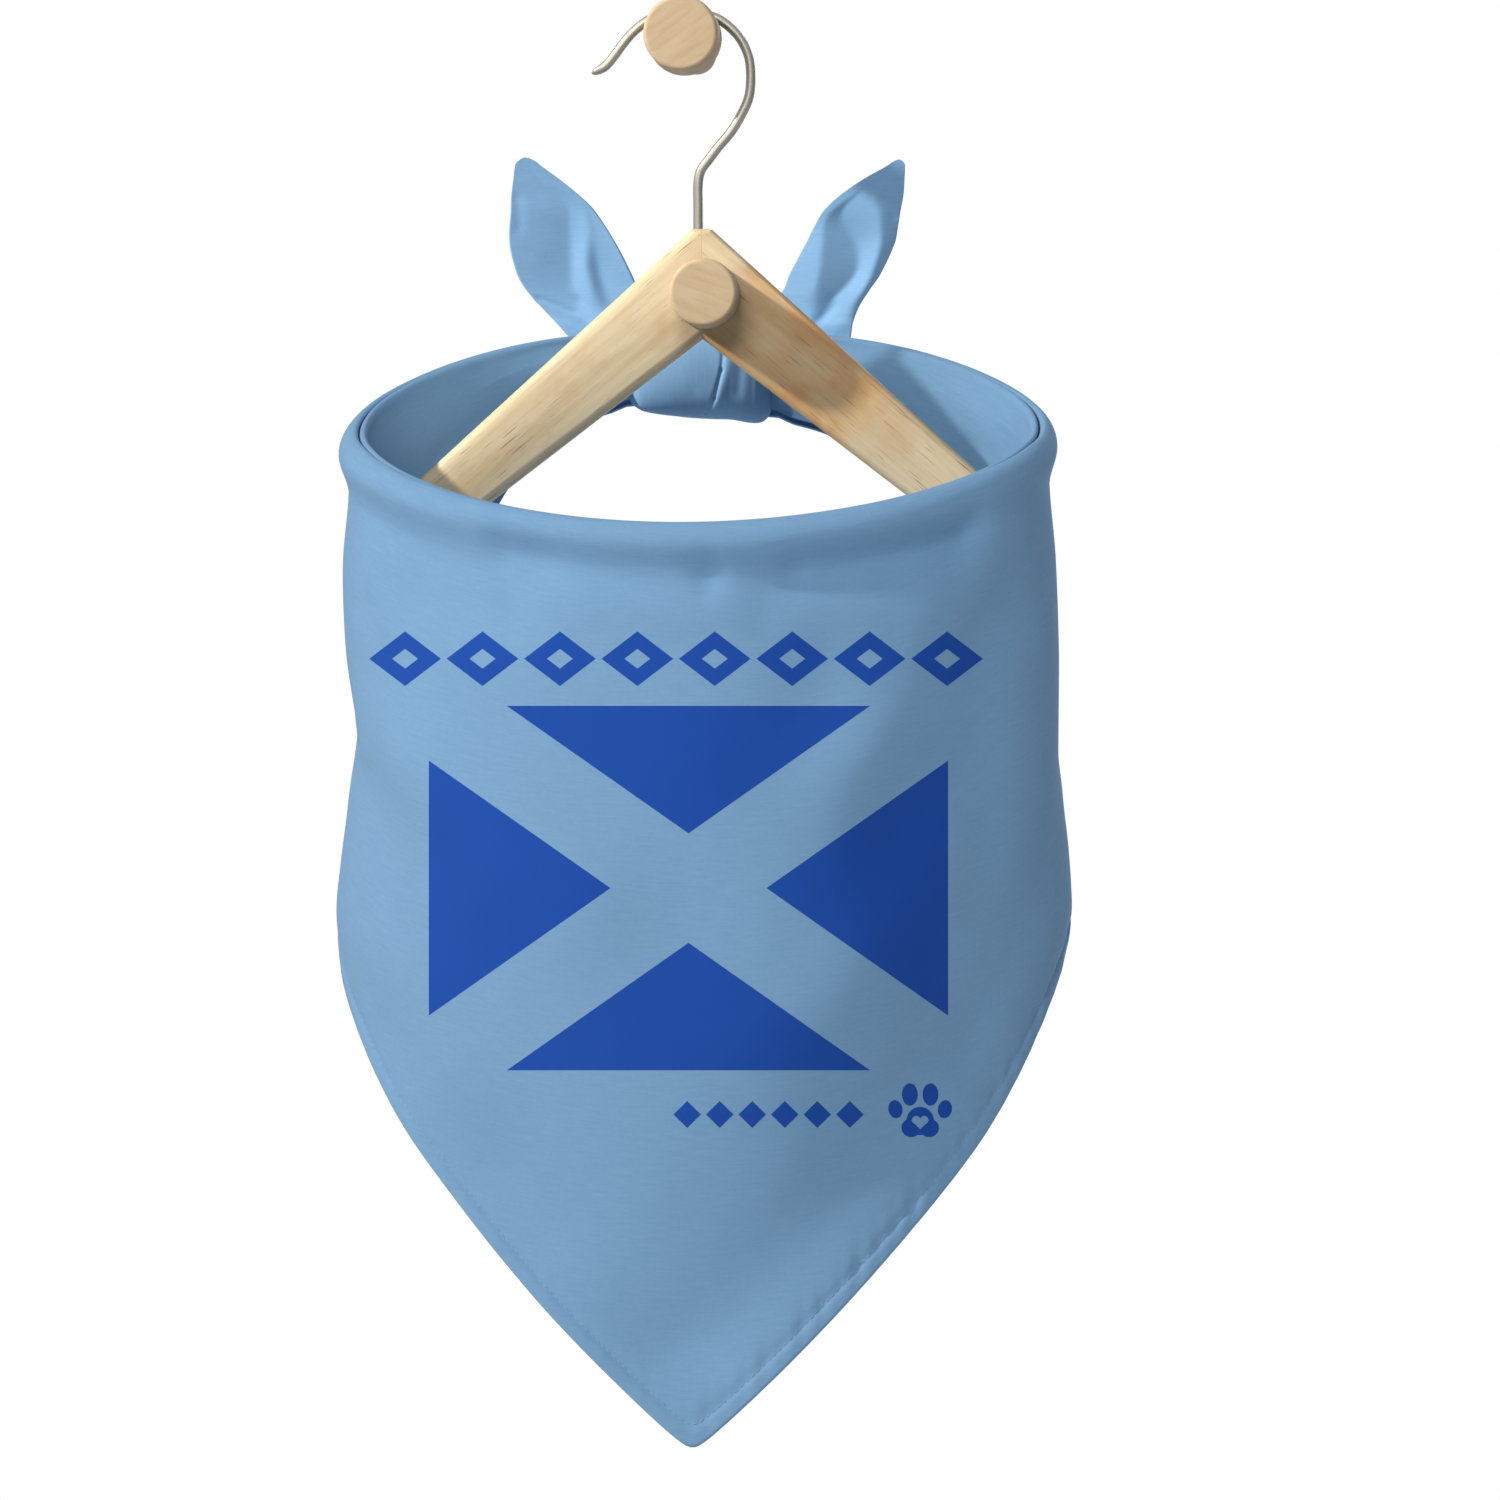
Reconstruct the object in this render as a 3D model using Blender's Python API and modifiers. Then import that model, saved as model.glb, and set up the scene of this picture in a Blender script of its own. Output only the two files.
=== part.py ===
"""Dog bandana tied at the back, held open on a small wooden hanger that hangs from a round wall peg.

Metres, +Z up, +X to the right as seen from the front, +Y towards the wall.
The origin is the centre of the peg's flat back face, where it meets the wall.
A cloth place is given by "across", the distance along the loop from the front centre (right is +),
and "drop", the distance below the crest of the neck edge.
"""

import math
from typing import NamedTuple

import bmesh
import bpy
import numpy as np
from mathutils import Vector

MM = 0.001
GAP = 0.3 * MM  # between pieces that touch on the real object
END_GAP = 0.8 * MM  # where a slanted end of cloth meets the knot

# Wall peg: a turned head on a thinner shaft, along -Y from the wall.
PEG_SHAFT_RADIUS = 7.2 * MM
PEG_SHAFT_LENGTH = 68.0 * MM
PEG_HEAD_RADIUS = 13.1 * MM
PEG_HEAD_LENGTH = 25.0 * MM
PEG_EDGE_ROUNDING = 1.2 * MM

# Hanger: two flat bars, mitred at the apex, with a dowel in front and a wire hook on top.
HANGER_X = 6.1 * MM
HANGER_Y = -66.0 * MM
APEX_TOP_Z = -67.0 * MM
APEX_FLAT_HALF = 3.3 * MM
APEX_INNER_DROP = 38.6 * MM
ARM_THICKNESS = 11.0 * MM
ARM_CHAMFER = 2.4 * MM
ARM_SHOULDER = Vector((22.2 * MM, -17.2 * MM))  # a point on the upper edge, from the apex
ARM_END_UPPER = Vector((108.9 * MM, -96.2 * MM))  # the ends reach the inside of the cloth, which hangs on them
ARM_END_LOWER = Vector((94.7 * MM, -111.2 * MM))
ARM_END_ROUNDING = 5.0 * MM
ARM_END_STEPS = 4
ARM_LOWER_CUT = 3.0 * MM  # the lower corner is cut off this far along both edges
APEX_DOWEL_RADIUS = 11.9 * MM
APEX_DOWEL_LENGTH = 20.0 * MM
APEX_DOWEL_X = 1.7 * MM  # from the hanger's centre
APEX_DOWEL_DROP = 23.4 * MM
TURNED_SIDES = 32

# Hook: steel wire, with its route from the shank's foot to the free end.
WIRE_RADIUS = 1.7 * MM
SHANK_DEPTH_IN_WOOD = 12.0 * MM
SHANK_HOLE_SIDES = 12

# Loop of cloth: an ellipse in plan, whose neck edge rises towards the back.
LOOP_X = 6.3 * MM
LOOP_Y = -87.0 * MM
LOOP_HALF_WIDTH = 123.0 * MM
LOOP_HALF_DEPTH = 71.0 * MM
CREST_Z = -136.6 * MM  # at the two sides
CREST_RISE = 35.6 * MM  # up at the back
CREST_FALL = 34.9 * MM  # down at the front
CREST_FRONT_LIFT = 2.4 * MM
CREST_BACK_SQUARE = 1.1 * MM  # lifts the edge between the back and the sides, and lowers it near the sides
CREST_TWIST = 0.5 * MM  # front right and back left ride this much higher
CLOTH = 1.8 * MM
FRONT_DROP = 316.2 * MM  # neck edge to the tip
EDGE_SLOPE = 0.876  # how fast the free edge rises from the tip
TIP_ROUNDING = 3.0 * MM
TIP_SWAY = 1.3 * MM  # the tip hangs this far to the right
TIP_SETBACK = 9.0 * MM  # the tip hangs this much nearer the wall than the neck edge
RIGHT_CORNER_DROP = 1.6 * MM  # the free edge hangs this much lower near its right corner
RIGHT_CORNER_ACROSS = 108.0 * MM
RIGHT_CORNER_WIDTH = 24.0 * MM
BAND_LEFT_DROP = -1.2 * MM  # and by this at the left end of the band
BAND_RIGHT_DROP = 4.0 * MM  # and by this at its right end
BAND_LEAN_START = 215.0 * MM
BAND_LEAN_LENGTH = 40.0 * MM
EDGE_BLEND = 20.0 * MM  # over this length the straight free edge passes into EDGE_ROWS
HEM_WIDTH = 8.0 * MM
HEM_RAISE = 0.55 * MM
HEM_FULL_DROP = 60.0 * MM  # where the band is narrower than this, the hem narrows with it
TURN_IN_DEPTH = 64.0 * MM
TURN_IN_MARGIN = 2.5 * MM  # it ends at least this far above the free edge
FOLD_START = 12.0 * MM  # the folds begin at this drop, below the roll
FOLD_EASE = 20.0 * MM
ROLL_FULL_DROP = 70.0 * MM  # where the band is narrower than this, the roll flattens
ROLL_FLATTENING = 0.8
BODY_OUT = -0.5 * MM  # the wall below the roll, easing to nothing at the hem
BODY_STEPS = 12

# Knot at the back: the two ends of the loop enter it from the left and the right.
KNOT_LEFT = 27.0 * MM
KNOT_RIGHT = 21.0 * MM
KNOT_INWARD = 3.0 * MM  # its middle lies this far inside the wall of the loop

COLUMNS = 66
LOOP_STEPS = 720


class Fold(NamedTuple):
    """A soft ridge (height > 0) or trough (height < 0) along a line on the cloth."""

    name: str
    across_1: float
    drop_1: float
    across_2: float
    drop_2: float
    width: float
    height: float


class EarSection(NamedTuple):
    """One level of a tie end: its two edges seen from the front, and how the cloth lies and curls in depth."""

    up: float
    left: float
    right: float
    setback: float
    curl: float
    wave: float


class KnotRing(NamedTuple):
    """One section of the knot, square to X."""

    along: float
    half_height: float
    half_depth: float
    rise: float


# Millimetres. Free edge: drop below the crest, against distance across, behind the straight front part.
EDGE_ROWS = (
    (100.0, 231.2),
    (125.0, 208.0),
    (150.0, 184.0),
    (170.0, 162.5),
    (190.0, 131.0),
    (210.0, 95.0),
    (228.0, 62.0),
    (245.0, 43.0),
    (263.0, 33.4),
    (285.0, 28.4),
    (295.0, 27.6),
)

# Millimetres. How far the wall stands out of the plain loop at the left and the right side, by drop.
SIDE_ROWS = (
    (0.0, 0.5, 0.0),
    (9.0, 1.5, 0.0),
    (22.0, 0.6, 0.0),
    (47.0, 2.6, 2.5),
    (75.0, 1.8, 3.1),
    (103.0, 0.5, 3.3),
    (131.0, 0.4, 4.2),
    (150.0, 2.2, 6.2),
    (168.0, 4.4, 6.8),
    (185.0, 3.4, 4.2),
    (202.0, 2.2, 2.2),
    (260.0, 1.0, 1.0),
    (330.0, 0.0, 0.0),
)

# Millimetres. The neck roll's outer side, as (out of the loop, drop), from the crest seam down.
ROLL_ROWS = ((-3.6, 0.7), (-2.7, 0.1), (-0.8, 0.9), (0.9, 2.9), (1.9, 5.8), (2.1, 8.6), (1.3, 12.0), (0.2, 15.8), (-0.5, 20.0))

# Millimetres. The turned-in layer, as (out of the loop, share of the turn-in's depth), from the crest seam inwards.
TURN_IN_ROLL = ((-3.9, 0.7), (-4.9, 0.1), (-7.0, 1.0), (-8.9, 3.4), (-9.6, 6.8), (-9.4, 11.5))
TURN_IN_ROWS = ((-8.4, 0.30), (-7.2, 0.52), (-6.3, 0.76), (-5.9, 1.0))

# The hem, as (share of its width, share of its raise), from its upper side to the free edge.
HEM_ROWS = ((0.2, 1.0), (0.8, 1.0), (1.0, 0.3))

# Millimetres. Main folds of the hanging cloth.
FOLDS = (
    Fold("shelf under the roll", -95.0, 22.0, 95.0, 24.0, 9.0, -1.2),
    Fold("right shoulder trough", 128.0, 48.0, 74.0, 104.0, 22.0, -3.2),
    Fold("right shoulder ridge", 96.0, 30.0, 36.0, 112.0, 24.0, 1.6),
    Fold("centre swell", -52.0, 60.0, -8.0, 176.0, 42.0, 2.4),
    Fold("right side trough", 62.0, 116.0, 52.0, 178.0, 20.0, -2.2),
    Fold("left waist trough", -150.0, 102.0, -84.0, 122.0, 17.0, -2.6),
    Fold("left corner swell", -128.0, 150.0, -92.0, 196.0, 26.0, 2.6),
    Fold("right corner dip", 132.0, 150.0, 114.0, 172.0, 15.0, -2.6),
    Fold("right edge valley", 74.0, 186.0, -8.0, 272.0, 19.0, -3.8),
    Fold("right edge ridge", 92.0, 208.0, 10.0, 292.0, 13.0, 1.7),
    Fold("left edge valley", -104.0, 196.0, -56.0, 246.0, 18.0, -1.6),
    Fold("back left sweep", -196.0, 50.0, -250.0, 34.0, 13.0, -2.0),
    Fold("back right sweep", 196.0, 56.0, 252.0, 36.0, 13.0, -2.0),
)

# The gathers that run along the band into the knot.
GATHER_REACH = 62.0 * MM
GATHER_HEIGHT = 1.3 * MM
GATHER_COUNT = 2.5

# Millimetres from the top of the knot, each row one level of a tie end. Below 0 it passes behind the band.
LEFT_EAR = (
    EarSection(-11.0, -37.1, -29.5, 4.2, 0.0, 0.0),
    EarSection(-8.5, -45.0, -27.6, 4.2, 0.0, 0.0),
    EarSection(-5.5, -51.4, -26.8, 4.2, 0.2, 0.0),
    EarSection(-0.9, -55.6, -26.6, 4.2, 0.6, 0.2),
    EarSection(0.5, -56.9, -13.0, 4.1, 1.0, 0.4),
    EarSection(5.0, -61.4, -21.4, 3.8, 1.6, 0.9),
    EarSection(10.8, -66.5, -26.3, 3.4, 2.0, 1.5),
    EarSection(16.6, -70.1, -29.0, 3.0, 1.8, 2.1),
    EarSection(28.2, -73.0, -34.8, 2.2, 1.0, 2.6),
    EarSection(39.7, -72.4, -42.3, 1.0, 0.6, 2.0),
    EarSection(45.5, -72.1, -48.1, 0.2, 0.8, 1.4),
    EarSection(51.3, -71.3, -55.3, -0.8, 0.8, 0.8),
    EarSection(55.8, -70.6, -61.5, -1.6, 0.6, 0.3),
    EarSection(58.6, -68.6, -65.5, -2.0, 0.2, 0.0),
)
RIGHT_EAR = (
    EarSection(-12.0, 28.0, 41.0, 4.2, 0.0, 0.0),
    EarSection(-9.5, 22.0, 48.1, 4.2, 0.0, 0.0),
    EarSection(-6.5, 20.7, 50.0, 4.2, 0.2, 0.2),
    EarSection(-0.9, 20.4, 50.9, 4.2, 0.8, 0.6),
    EarSection(0.5, 8.7, 51.3, 4.1, 2.0, 1.2),
    EarSection(5.0, 18.5, 53.1, 3.8, 3.2, 2.0),
    EarSection(10.8, 25.4, 56.7, 3.2, 4.0, 2.8),
    EarSection(16.6, 27.9, 60.7, 2.8, 4.2, 3.4),
    EarSection(28.2, 34.1, 66.1, 2.2, 3.8, 4.0),
    EarSection(33.9, 37.0, 67.2, 1.8, 3.2, 3.6),
    EarSection(39.7, 40.6, 68.2, 1.0, 2.6, 3.0),
    EarSection(45.5, 47.1, 69.3, 0.2, 2.0, 2.0),
    EarSection(51.3, 56.1, 69.7, -0.8, 1.2, 1.0),
    EarSection(55.2, 63.3, 69.9, -1.6, 0.6, 0.4),
    EarSection(57.4, 67.1, 69.1, -2.0, 0.2, 0.0),
)
EAR_ACROSS = 10
EAR_ALONG = 24

KNOT_RINGS = (
    KnotRing(-27.0, 15.4, 6.4, 0.0),
    KnotRing(-25.0, 16.4, 8.0, 0.0),
    KnotRing(-18.0, 17.0, 10.4, 0.2),
    KnotRing(-9.0, 17.4, 12.0, 0.4),
    KnotRing(0.0, 18.0, 12.4, 0.2),
    KnotRing(9.0, 18.4, 12.2, -0.4),
    KnotRing(16.0, 18.2, 11.0, -0.9),
    KnotRing(19.4, 17.0, 8.8, -0.9),
    KnotRing(21.0, 15.2, 6.4, -0.6),
)
KNOT_AROUND = 30
KNOT_ALONG = 24
KNOT_DROP = 14.0 * MM  # from the crest at the back to the knot's middle
KNOT_WRAP_CENTRE = -1.0 * MM
KNOT_WRAP_HALF = 9.0 * MM
KNOT_WRAP_RAISE = 1.6 * MM
KNOT_CREASE_SPREAD = 1.15  # the creases beside the wrap, as shares of its half width
KNOT_CREASE_WIDTH = 2.2 * MM
KNOT_CREASE_DEPTH = 1.2 * MM
KNOT_PLEAT = 0.7 * MM
KNOT_PLEAT_COUNT = 5
KNOT_PLEAT_SLANT = 5.0 * MM
KNOT_FRONT_FOLD_X = 3.0 * MM
KNOT_FRONT_FOLD_LEAN = 4.0 * MM
KNOT_FRONT_FOLD_WIDTH = 2.0 * MM
KNOT_FRONT_FOLD_DEPTH = 1.1 * MM
EAR_BEHIND = -1.6 * MM  # the tie ends stand this far behind the loop

# Millimetres from the hanger's centre and the apex: the hook's route, read as a smooth curve.
HOOK_ROUTE = (
    (-1.5, 0.0),
    (-1.5, 8.0),
    (-1.5, 16.3),
    (-0.6, 20.6),
    (2.4, 24.8),
    (5.6, 29.0),
    (10.3, 34.6),
    (13.7, 40.3),
    (16.3, 46.2),
    (17.1, 53.0),
    (16.5, 60.1),
    (14.0, 66.1),
    (9.8, 71.0),
    (4.3, 74.6),
    (-3.9, 76.2),
    (-11.5, 76.1),
    (-18.3, 74.2),
    (-24.2, 69.8),
    (-28.1, 65.4),
    (-31.5, 60.8),
    (-34.7, 57.3),
    (-39.1, 55.0),
)
HOOK_POINTS = 56


class Finish(NamedTuple):
    """Colour, roughness and metallic value of a material."""

    colour: tuple[float, float, float]
    roughness: float
    metallic: float


FINISHES = {
    "cloth": Finish((0.24, 0.44, 0.70), 0.9, 0.0),
    "wood": Finish((0.62, 0.46, 0.26), 0.6, 0.0),
    "steel": Finish((0.62, 0.60, 0.55), 0.3, 1.0),
}


def clear_scene():
    for obj in list(bpy.data.objects):
        bpy.data.objects.remove(obj, do_unlink=True)


def new_collection(name):
    collection = bpy.data.collections.new(name)
    bpy.context.scene.collection.children.link(collection)
    return collection


def material(name):
    made = bpy.data.materials.get(name)
    if made is None:
        finish = FINISHES[name]
        made = bpy.data.materials.new(name)
        made.use_nodes = True
        shader = made.node_tree.nodes["Principled BSDF"]
        shader.inputs["Base Color"].default_value = (*finish.colour, 1.0)
        shader.inputs["Roughness"].default_value = finish.roughness
        shader.inputs["Metallic"].default_value = finish.metallic
    return made


def smooth_between(rows, column, at):
    """Column of a table at a place in its first column, on one smooth curve through the rows."""
    places = [row[0] for row in rows]
    values = [row[column] for row in rows]
    if at <= places[0]:
        return values[0]
    if at >= places[-1]:
        return values[-1]
    i = max(k for k in range(len(places) - 1) if places[k] <= at)
    span = places[i + 1] - places[i]
    t = (at - places[i]) / span

    def slope(k):
        low, high = max(k - 1, 0), min(k + 1, len(places) - 1)
        return (values[high] - values[low]) / (places[high] - places[low]) * span

    square, cube = t * t, t * t * t
    return (
        (2 * cube - 3 * square + 1) * values[i]
        + (cube - 2 * square + t) * slope(i)
        + (3 * square - 2 * cube) * values[i + 1]
        + (cube - square) * slope(i + 1)
    )


def ease(value):
    """Smooth step from 0 to 1."""
    value = min(max(value, 0.0), 1.0)
    return value * value * (3 - 2 * value)


class Loop:
    """The plan of the cloth: an ellipse measured along its own length from the front centre."""

    def __init__(self):
        self.angles = np.linspace(-math.pi, math.pi, LOOP_STEPS + 1)
        x = LOOP_HALF_WIDTH * np.sin(self.angles)
        y = -LOOP_HALF_DEPTH * np.cos(self.angles)
        lengths = np.concatenate([[0.0], np.cumsum(np.hypot(np.diff(x), np.diff(y)))])
        self.length = float(lengths[-1])
        self.along = lengths - self.length / 2

    def angle(self, across):
        return float(np.interp(across, self.along, self.angles))

    def plan(self, angle, out):
        """X and Y of the place that lies this far outside the ellipse."""
        x, y = math.sin(angle), -math.cos(angle)
        normal = Vector((x / LOOP_HALF_WIDTH, y / LOOP_HALF_DEPTH)).normalized()
        return Vector((LOOP_X + LOOP_HALF_WIDTH * x, LOOP_Y + LOOP_HALF_DEPTH * y)) + out * normal


LOOP = Loop()
BAND_LEFT = -LOOP.length / 2 + KNOT_LEFT + END_GAP
BAND_RIGHT = LOOP.length / 2 - KNOT_RIGHT - END_GAP


def crest_height(angle):
    front = max(math.cos(angle), 0.0)
    lift = CREST_FRONT_LIFT * math.sin(1.5 * angle) ** 2 * ease(front * 3)
    twist = CREST_TWIST * math.sin(2 * angle)
    if math.cos(angle) < 0:
        return CREST_Z - CREST_RISE * math.cos(angle) - CREST_BACK_SQUARE * math.sin(4 * abs(angle)) + twist
    return CREST_Z - CREST_FALL * math.cos(angle) + lift + twist


def edge_drop(across):
    """Drop of the free edge below the crest."""
    at_knot = BAND_LEFT_DROP if across < 0 else BAND_RIGHT_DROP
    corner = (across - RIGHT_CORNER_ACROSS) / RIGHT_CORNER_WIDTH
    corner_drop = RIGHT_CORNER_DROP * math.exp(-corner * corner)
    across = abs(across)
    start = EDGE_ROWS[0][0] * MM
    rounded = math.hypot(across, TIP_ROUNDING) - TIP_ROUNDING
    front = FRONT_DROP - EDGE_SLOPE * rounded + corner_drop
    if across < start:
        return front
    lean = corner_drop + at_knot * ease((across - BAND_LEAN_START) / BAND_LEAN_LENGTH)
    back = smooth_between(EDGE_ROWS, 1, across / MM) * MM + lean
    blend = ease((across - start) / EDGE_BLEND)
    return front * (1 - blend) + back * blend


def fold_offset(across, drop):
    """Sum of the folds at this place of the cloth."""
    total = 0.0
    for fold in FOLDS:
        start = Vector((fold.across_1, fold.drop_1)) * MM
        run = Vector((fold.across_2, fold.drop_2)) * MM - start
        place = Vector((across, drop)) - start
        share = place.dot(run) / run.length_squared
        nearest = run * min(max(share, 0.0), 1.0)
        distance = (place - nearest).length / (fold.width * MM)
        total += fold.height * MM * math.exp(-distance * distance)
    return total


def side_offset(across, angle, drop):
    column = 1 if across < 0 else 2
    return smooth_between(SIDE_ROWS, column, drop / MM) * MM * abs(math.sin(angle)) ** 3


def gather_offset(across, share):
    """Pleats that run along the band, deepest where it enters the knot."""
    end = BAND_LEFT if across < 0 else BAND_RIGHT
    near = ease(1 - abs(end - across) / GATHER_REACH)
    return GATHER_HEIGHT * near * math.sin(2 * math.pi * GATHER_COUNT * share)


def cloth_point(across, drop, out):
    """A point of the hanging cloth, out of the plain loop by this much."""
    angle = LOOP.angle(across)
    below_roll = ease((drop - FOLD_START) / FOLD_EASE)
    out += below_roll * fold_offset(across, drop)
    out += side_offset(across, angle, drop)
    out += gather_offset(across, drop / edge_drop(across))
    place = LOOP.plan(angle, out)
    low = (drop / FRONT_DROP) ** 2
    return Vector((place.x + TIP_SWAY * low, place.y + TIP_SETBACK * low, crest_height(angle) - drop))


def roll_scale(across):
    """The roll flattens where the band narrows towards the knot."""
    return min(1.0, edge_drop(across) / ROLL_FULL_DROP) ** ROLL_FLATTENING


def link(obj, collection, finish):
    collection.objects.link(obj)
    obj.data.materials.append(material(finish))
    return obj


def sheet(name, columns, collection, flip=False):
    """An open grid of cloth, one list of points per column, given its thickness by Solidify."""
    rows = len(columns[0])
    points = [point for column in columns for point in column]
    faces = []
    for i in range(len(columns) - 1):
        for j in range(rows - 1):
            corners = (i * rows + j, i * rows + j + 1, (i + 1) * rows + j + 1, (i + 1) * rows + j)
            faces.append(corners[::-1] if flip else corners)
    mesh = bpy.data.meshes.new(name)
    mesh.from_pydata(points, [], faces)
    mesh.shade_smooth()
    obj = link(bpy.data.objects.new(name, mesh), collection, "cloth")
    wall = obj.modifiers.new("wall", "SOLIDIFY")
    wall.thickness = CLOTH
    wall.offset = -1.0
    return obj


def meet_knot(columns):
    """Moves the two end columns along X, so that they stand square to the knot's ends."""
    ends = (LOOP_X - KNOT_LEFT - END_GAP, LOOP_X + KNOT_RIGHT + END_GAP)
    for column, x in zip((columns[0], columns[-1]), ends):
        for point in column:
            point.x = x
    return columns


def column_places():
    """Distances across, with one column on the front centre."""
    half = COLUMNS // 2
    left = [BAND_LEFT * (1 - i / half) for i in range(half)]
    right = [BAND_RIGHT * i / half for i in range(half + 1)]
    return left + right


def drape_column(across):
    scale = roll_scale(across)
    edge = edge_drop(across)
    column = [cloth_point(across, drop * MM * scale, out * MM) for out, drop in ROLL_ROWS]
    top = ROLL_ROWS[-1][1] * MM * scale
    hem = HEM_WIDTH * min(1.0, edge / HEM_FULL_DROP)
    for i in range(1, BODY_STEPS + 1):
        share = i / BODY_STEPS
        drop = top + (edge - hem - top) * share
        column.append(cloth_point(across, drop, BODY_OUT * (1 - share)))
    for share, raised in HEM_ROWS:
        column.append(cloth_point(across, edge - hem * (1 - share), HEM_RAISE * raised))
    return column


def turn_in_column(across):
    scale = roll_scale(across)
    depth = min(TURN_IN_DEPTH, edge_drop(across) - TURN_IN_MARGIN)
    column = [cloth_point(across, drop * MM * scale, out * MM) for out, drop in TURN_IN_ROLL]
    top = TURN_IN_ROLL[-1][1] * MM * scale
    for out, share in TURN_IN_ROWS:
        column.append(cloth_point(across, top + (depth - top) * share, out * MM))
    return column


def build_drape(collection):
    columns = meet_knot([drape_column(at) for at in column_places()])
    return sheet("drape", columns, collection)


def build_turn_in(collection):
    columns = meet_knot([turn_in_column(at) for at in column_places()])
    return sheet("neck_turn_in", columns, collection, flip=True)


def knot_centre():
    place = LOOP.plan(math.pi, -KNOT_INWARD)
    return Vector((place.x, place.y, crest_height(math.pi) - KNOT_DROP))


KNOT_MIDDLE_RING = KNOT_RINGS[len(KNOT_RINGS) // 2]
KNOT_TOP_Z = knot_centre().z + KNOT_MIDDLE_RING.half_height * MM


def knot_surface(along, turn):
    """A point of the knot: along X from its middle, turned about X from straight up towards the wall."""
    half_height = smooth_between(KNOT_RINGS, 1, along / MM) * MM
    half_depth = smooth_between(KNOT_RINGS, 2, along / MM) * MM
    rise = smooth_between(KNOT_RINGS, 3, along / MM) * MM
    up, back = math.cos(turn), math.sin(turn)
    from_wrap = abs(along - KNOT_WRAP_CENTRE)
    wrap = math.exp(-((from_wrap / KNOT_WRAP_HALF) ** 4)) * max(back, 0.0)
    beside = (from_wrap - KNOT_WRAP_HALF * KNOT_CREASE_SPREAD) / KNOT_CREASE_WIDTH
    crease = math.exp(-beside * beside) * max(back, 0.0)
    pleats = math.sin(KNOT_PLEAT_COUNT * turn + along / KNOT_PLEAT_SLANT) * ease(1 - abs(along) / KNOT_LEFT)
    off_fold = (along - KNOT_FRONT_FOLD_X - KNOT_FRONT_FOLD_LEAN * up) / KNOT_FRONT_FOLD_WIDTH
    front_fold = math.exp(-off_fold * off_fold) * max(-back, 0.0)
    radial = KNOT_WRAP_RAISE * wrap + KNOT_PLEAT * pleats
    radial -= KNOT_CREASE_DEPTH * crease + KNOT_FRONT_FOLD_DEPTH * front_fold
    y = back * (half_depth + radial)
    z = up * (half_height + 0.4 * radial) + rise
    return Vector((along, y, z))


def build_knot(collection):
    """A closed body through rings that follow the knot from its left end to its right."""
    centre = knot_centre()
    mesh = bmesh.new()
    rings = []
    for i in range(KNOT_ALONG + 1):
        along = -KNOT_LEFT + (KNOT_LEFT + KNOT_RIGHT) * i / KNOT_ALONG
        ring = []
        for k in range(KNOT_AROUND):
            place = centre + knot_surface(along, 2 * math.pi * k / KNOT_AROUND)
            ring.append(mesh.verts.new(place))
        rings.append(ring)
    for first, second in zip(rings, rings[1:]):
        for k in range(KNOT_AROUND):
            n = (k + 1) % KNOT_AROUND
            mesh.faces.new((first[k], first[n], second[n], second[k]))
    mesh.faces.new(rings[0][::-1])
    mesh.faces.new(rings[-1])
    bmesh.ops.recalc_face_normals(mesh, faces=mesh.faces)
    data = bpy.data.meshes.new("knot")
    mesh.to_mesh(data)
    mesh.free()
    data.shade_smooth()
    return link(bpy.data.objects.new("knot", data), collection, "cloth")


def ear_point(sections, wave_side, share, side):
    """A point of a tie end: share of its height, and side from -1 to 1 across it."""
    centre = knot_centre()
    up = sections[0].up + (sections[-1].up - sections[0].up) * share
    left, right, setback, curl, wave = (smooth_between(sections, k, up) * MM for k in range(1, 6))
    curled = curl * (1 - side * side)
    waved = wave * math.sin(math.pi * (1.1 * side * wave_side + 0.25))
    x = centre.x + (left + right) / 2 + (right - left) / 2 * side
    y = LOOP.plan(math.pi, 0.0).y + EAR_BEHIND + setback + curled - waved
    return Vector((x, y, KNOT_TOP_Z + up * MM))


def build_ear(name, sections, lobe, collection):
    columns = []
    for i in range(EAR_ACROSS + 1):
        side = -1 + 2 * i / EAR_ACROSS
        columns.append([ear_point(sections, lobe, j / EAR_ALONG, side) for j in range(EAR_ALONG + 1)])
    return sheet(name, columns, collection, flip=True)


def arm_outline(side):
    """The bar's outline in X and Z from the apex, for the right arm (side 1) or the left (side -1)."""
    points = [
        Vector((GAP / 2, 0.0)),
        Vector((APEX_FLAT_HALF, 0.0)),
        ARM_SHOULDER,
    ]
    along = (ARM_END_UPPER - ARM_SHOULDER).normalized()
    down = (ARM_END_LOWER - ARM_END_UPPER).normalized()
    centre = ARM_END_UPPER + (down - along) * ARM_END_ROUNDING
    for k in range(ARM_END_STEPS + 1):
        turn = math.pi / 2 * k / ARM_END_STEPS
        points.append(centre + (-down * math.cos(turn) + along * math.sin(turn)) * ARM_END_ROUNDING)
    lower = (Vector((0.0, -APEX_INNER_DROP)) - ARM_END_LOWER).normalized()
    points.append(ARM_END_LOWER - down * ARM_LOWER_CUT)
    points.append(ARM_END_LOWER + lower * ARM_LOWER_CUT)
    points.append(Vector((GAP / 2, -APEX_INNER_DROP)))
    return [Vector((side * p.x, p.y)) for p in points]


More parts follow.
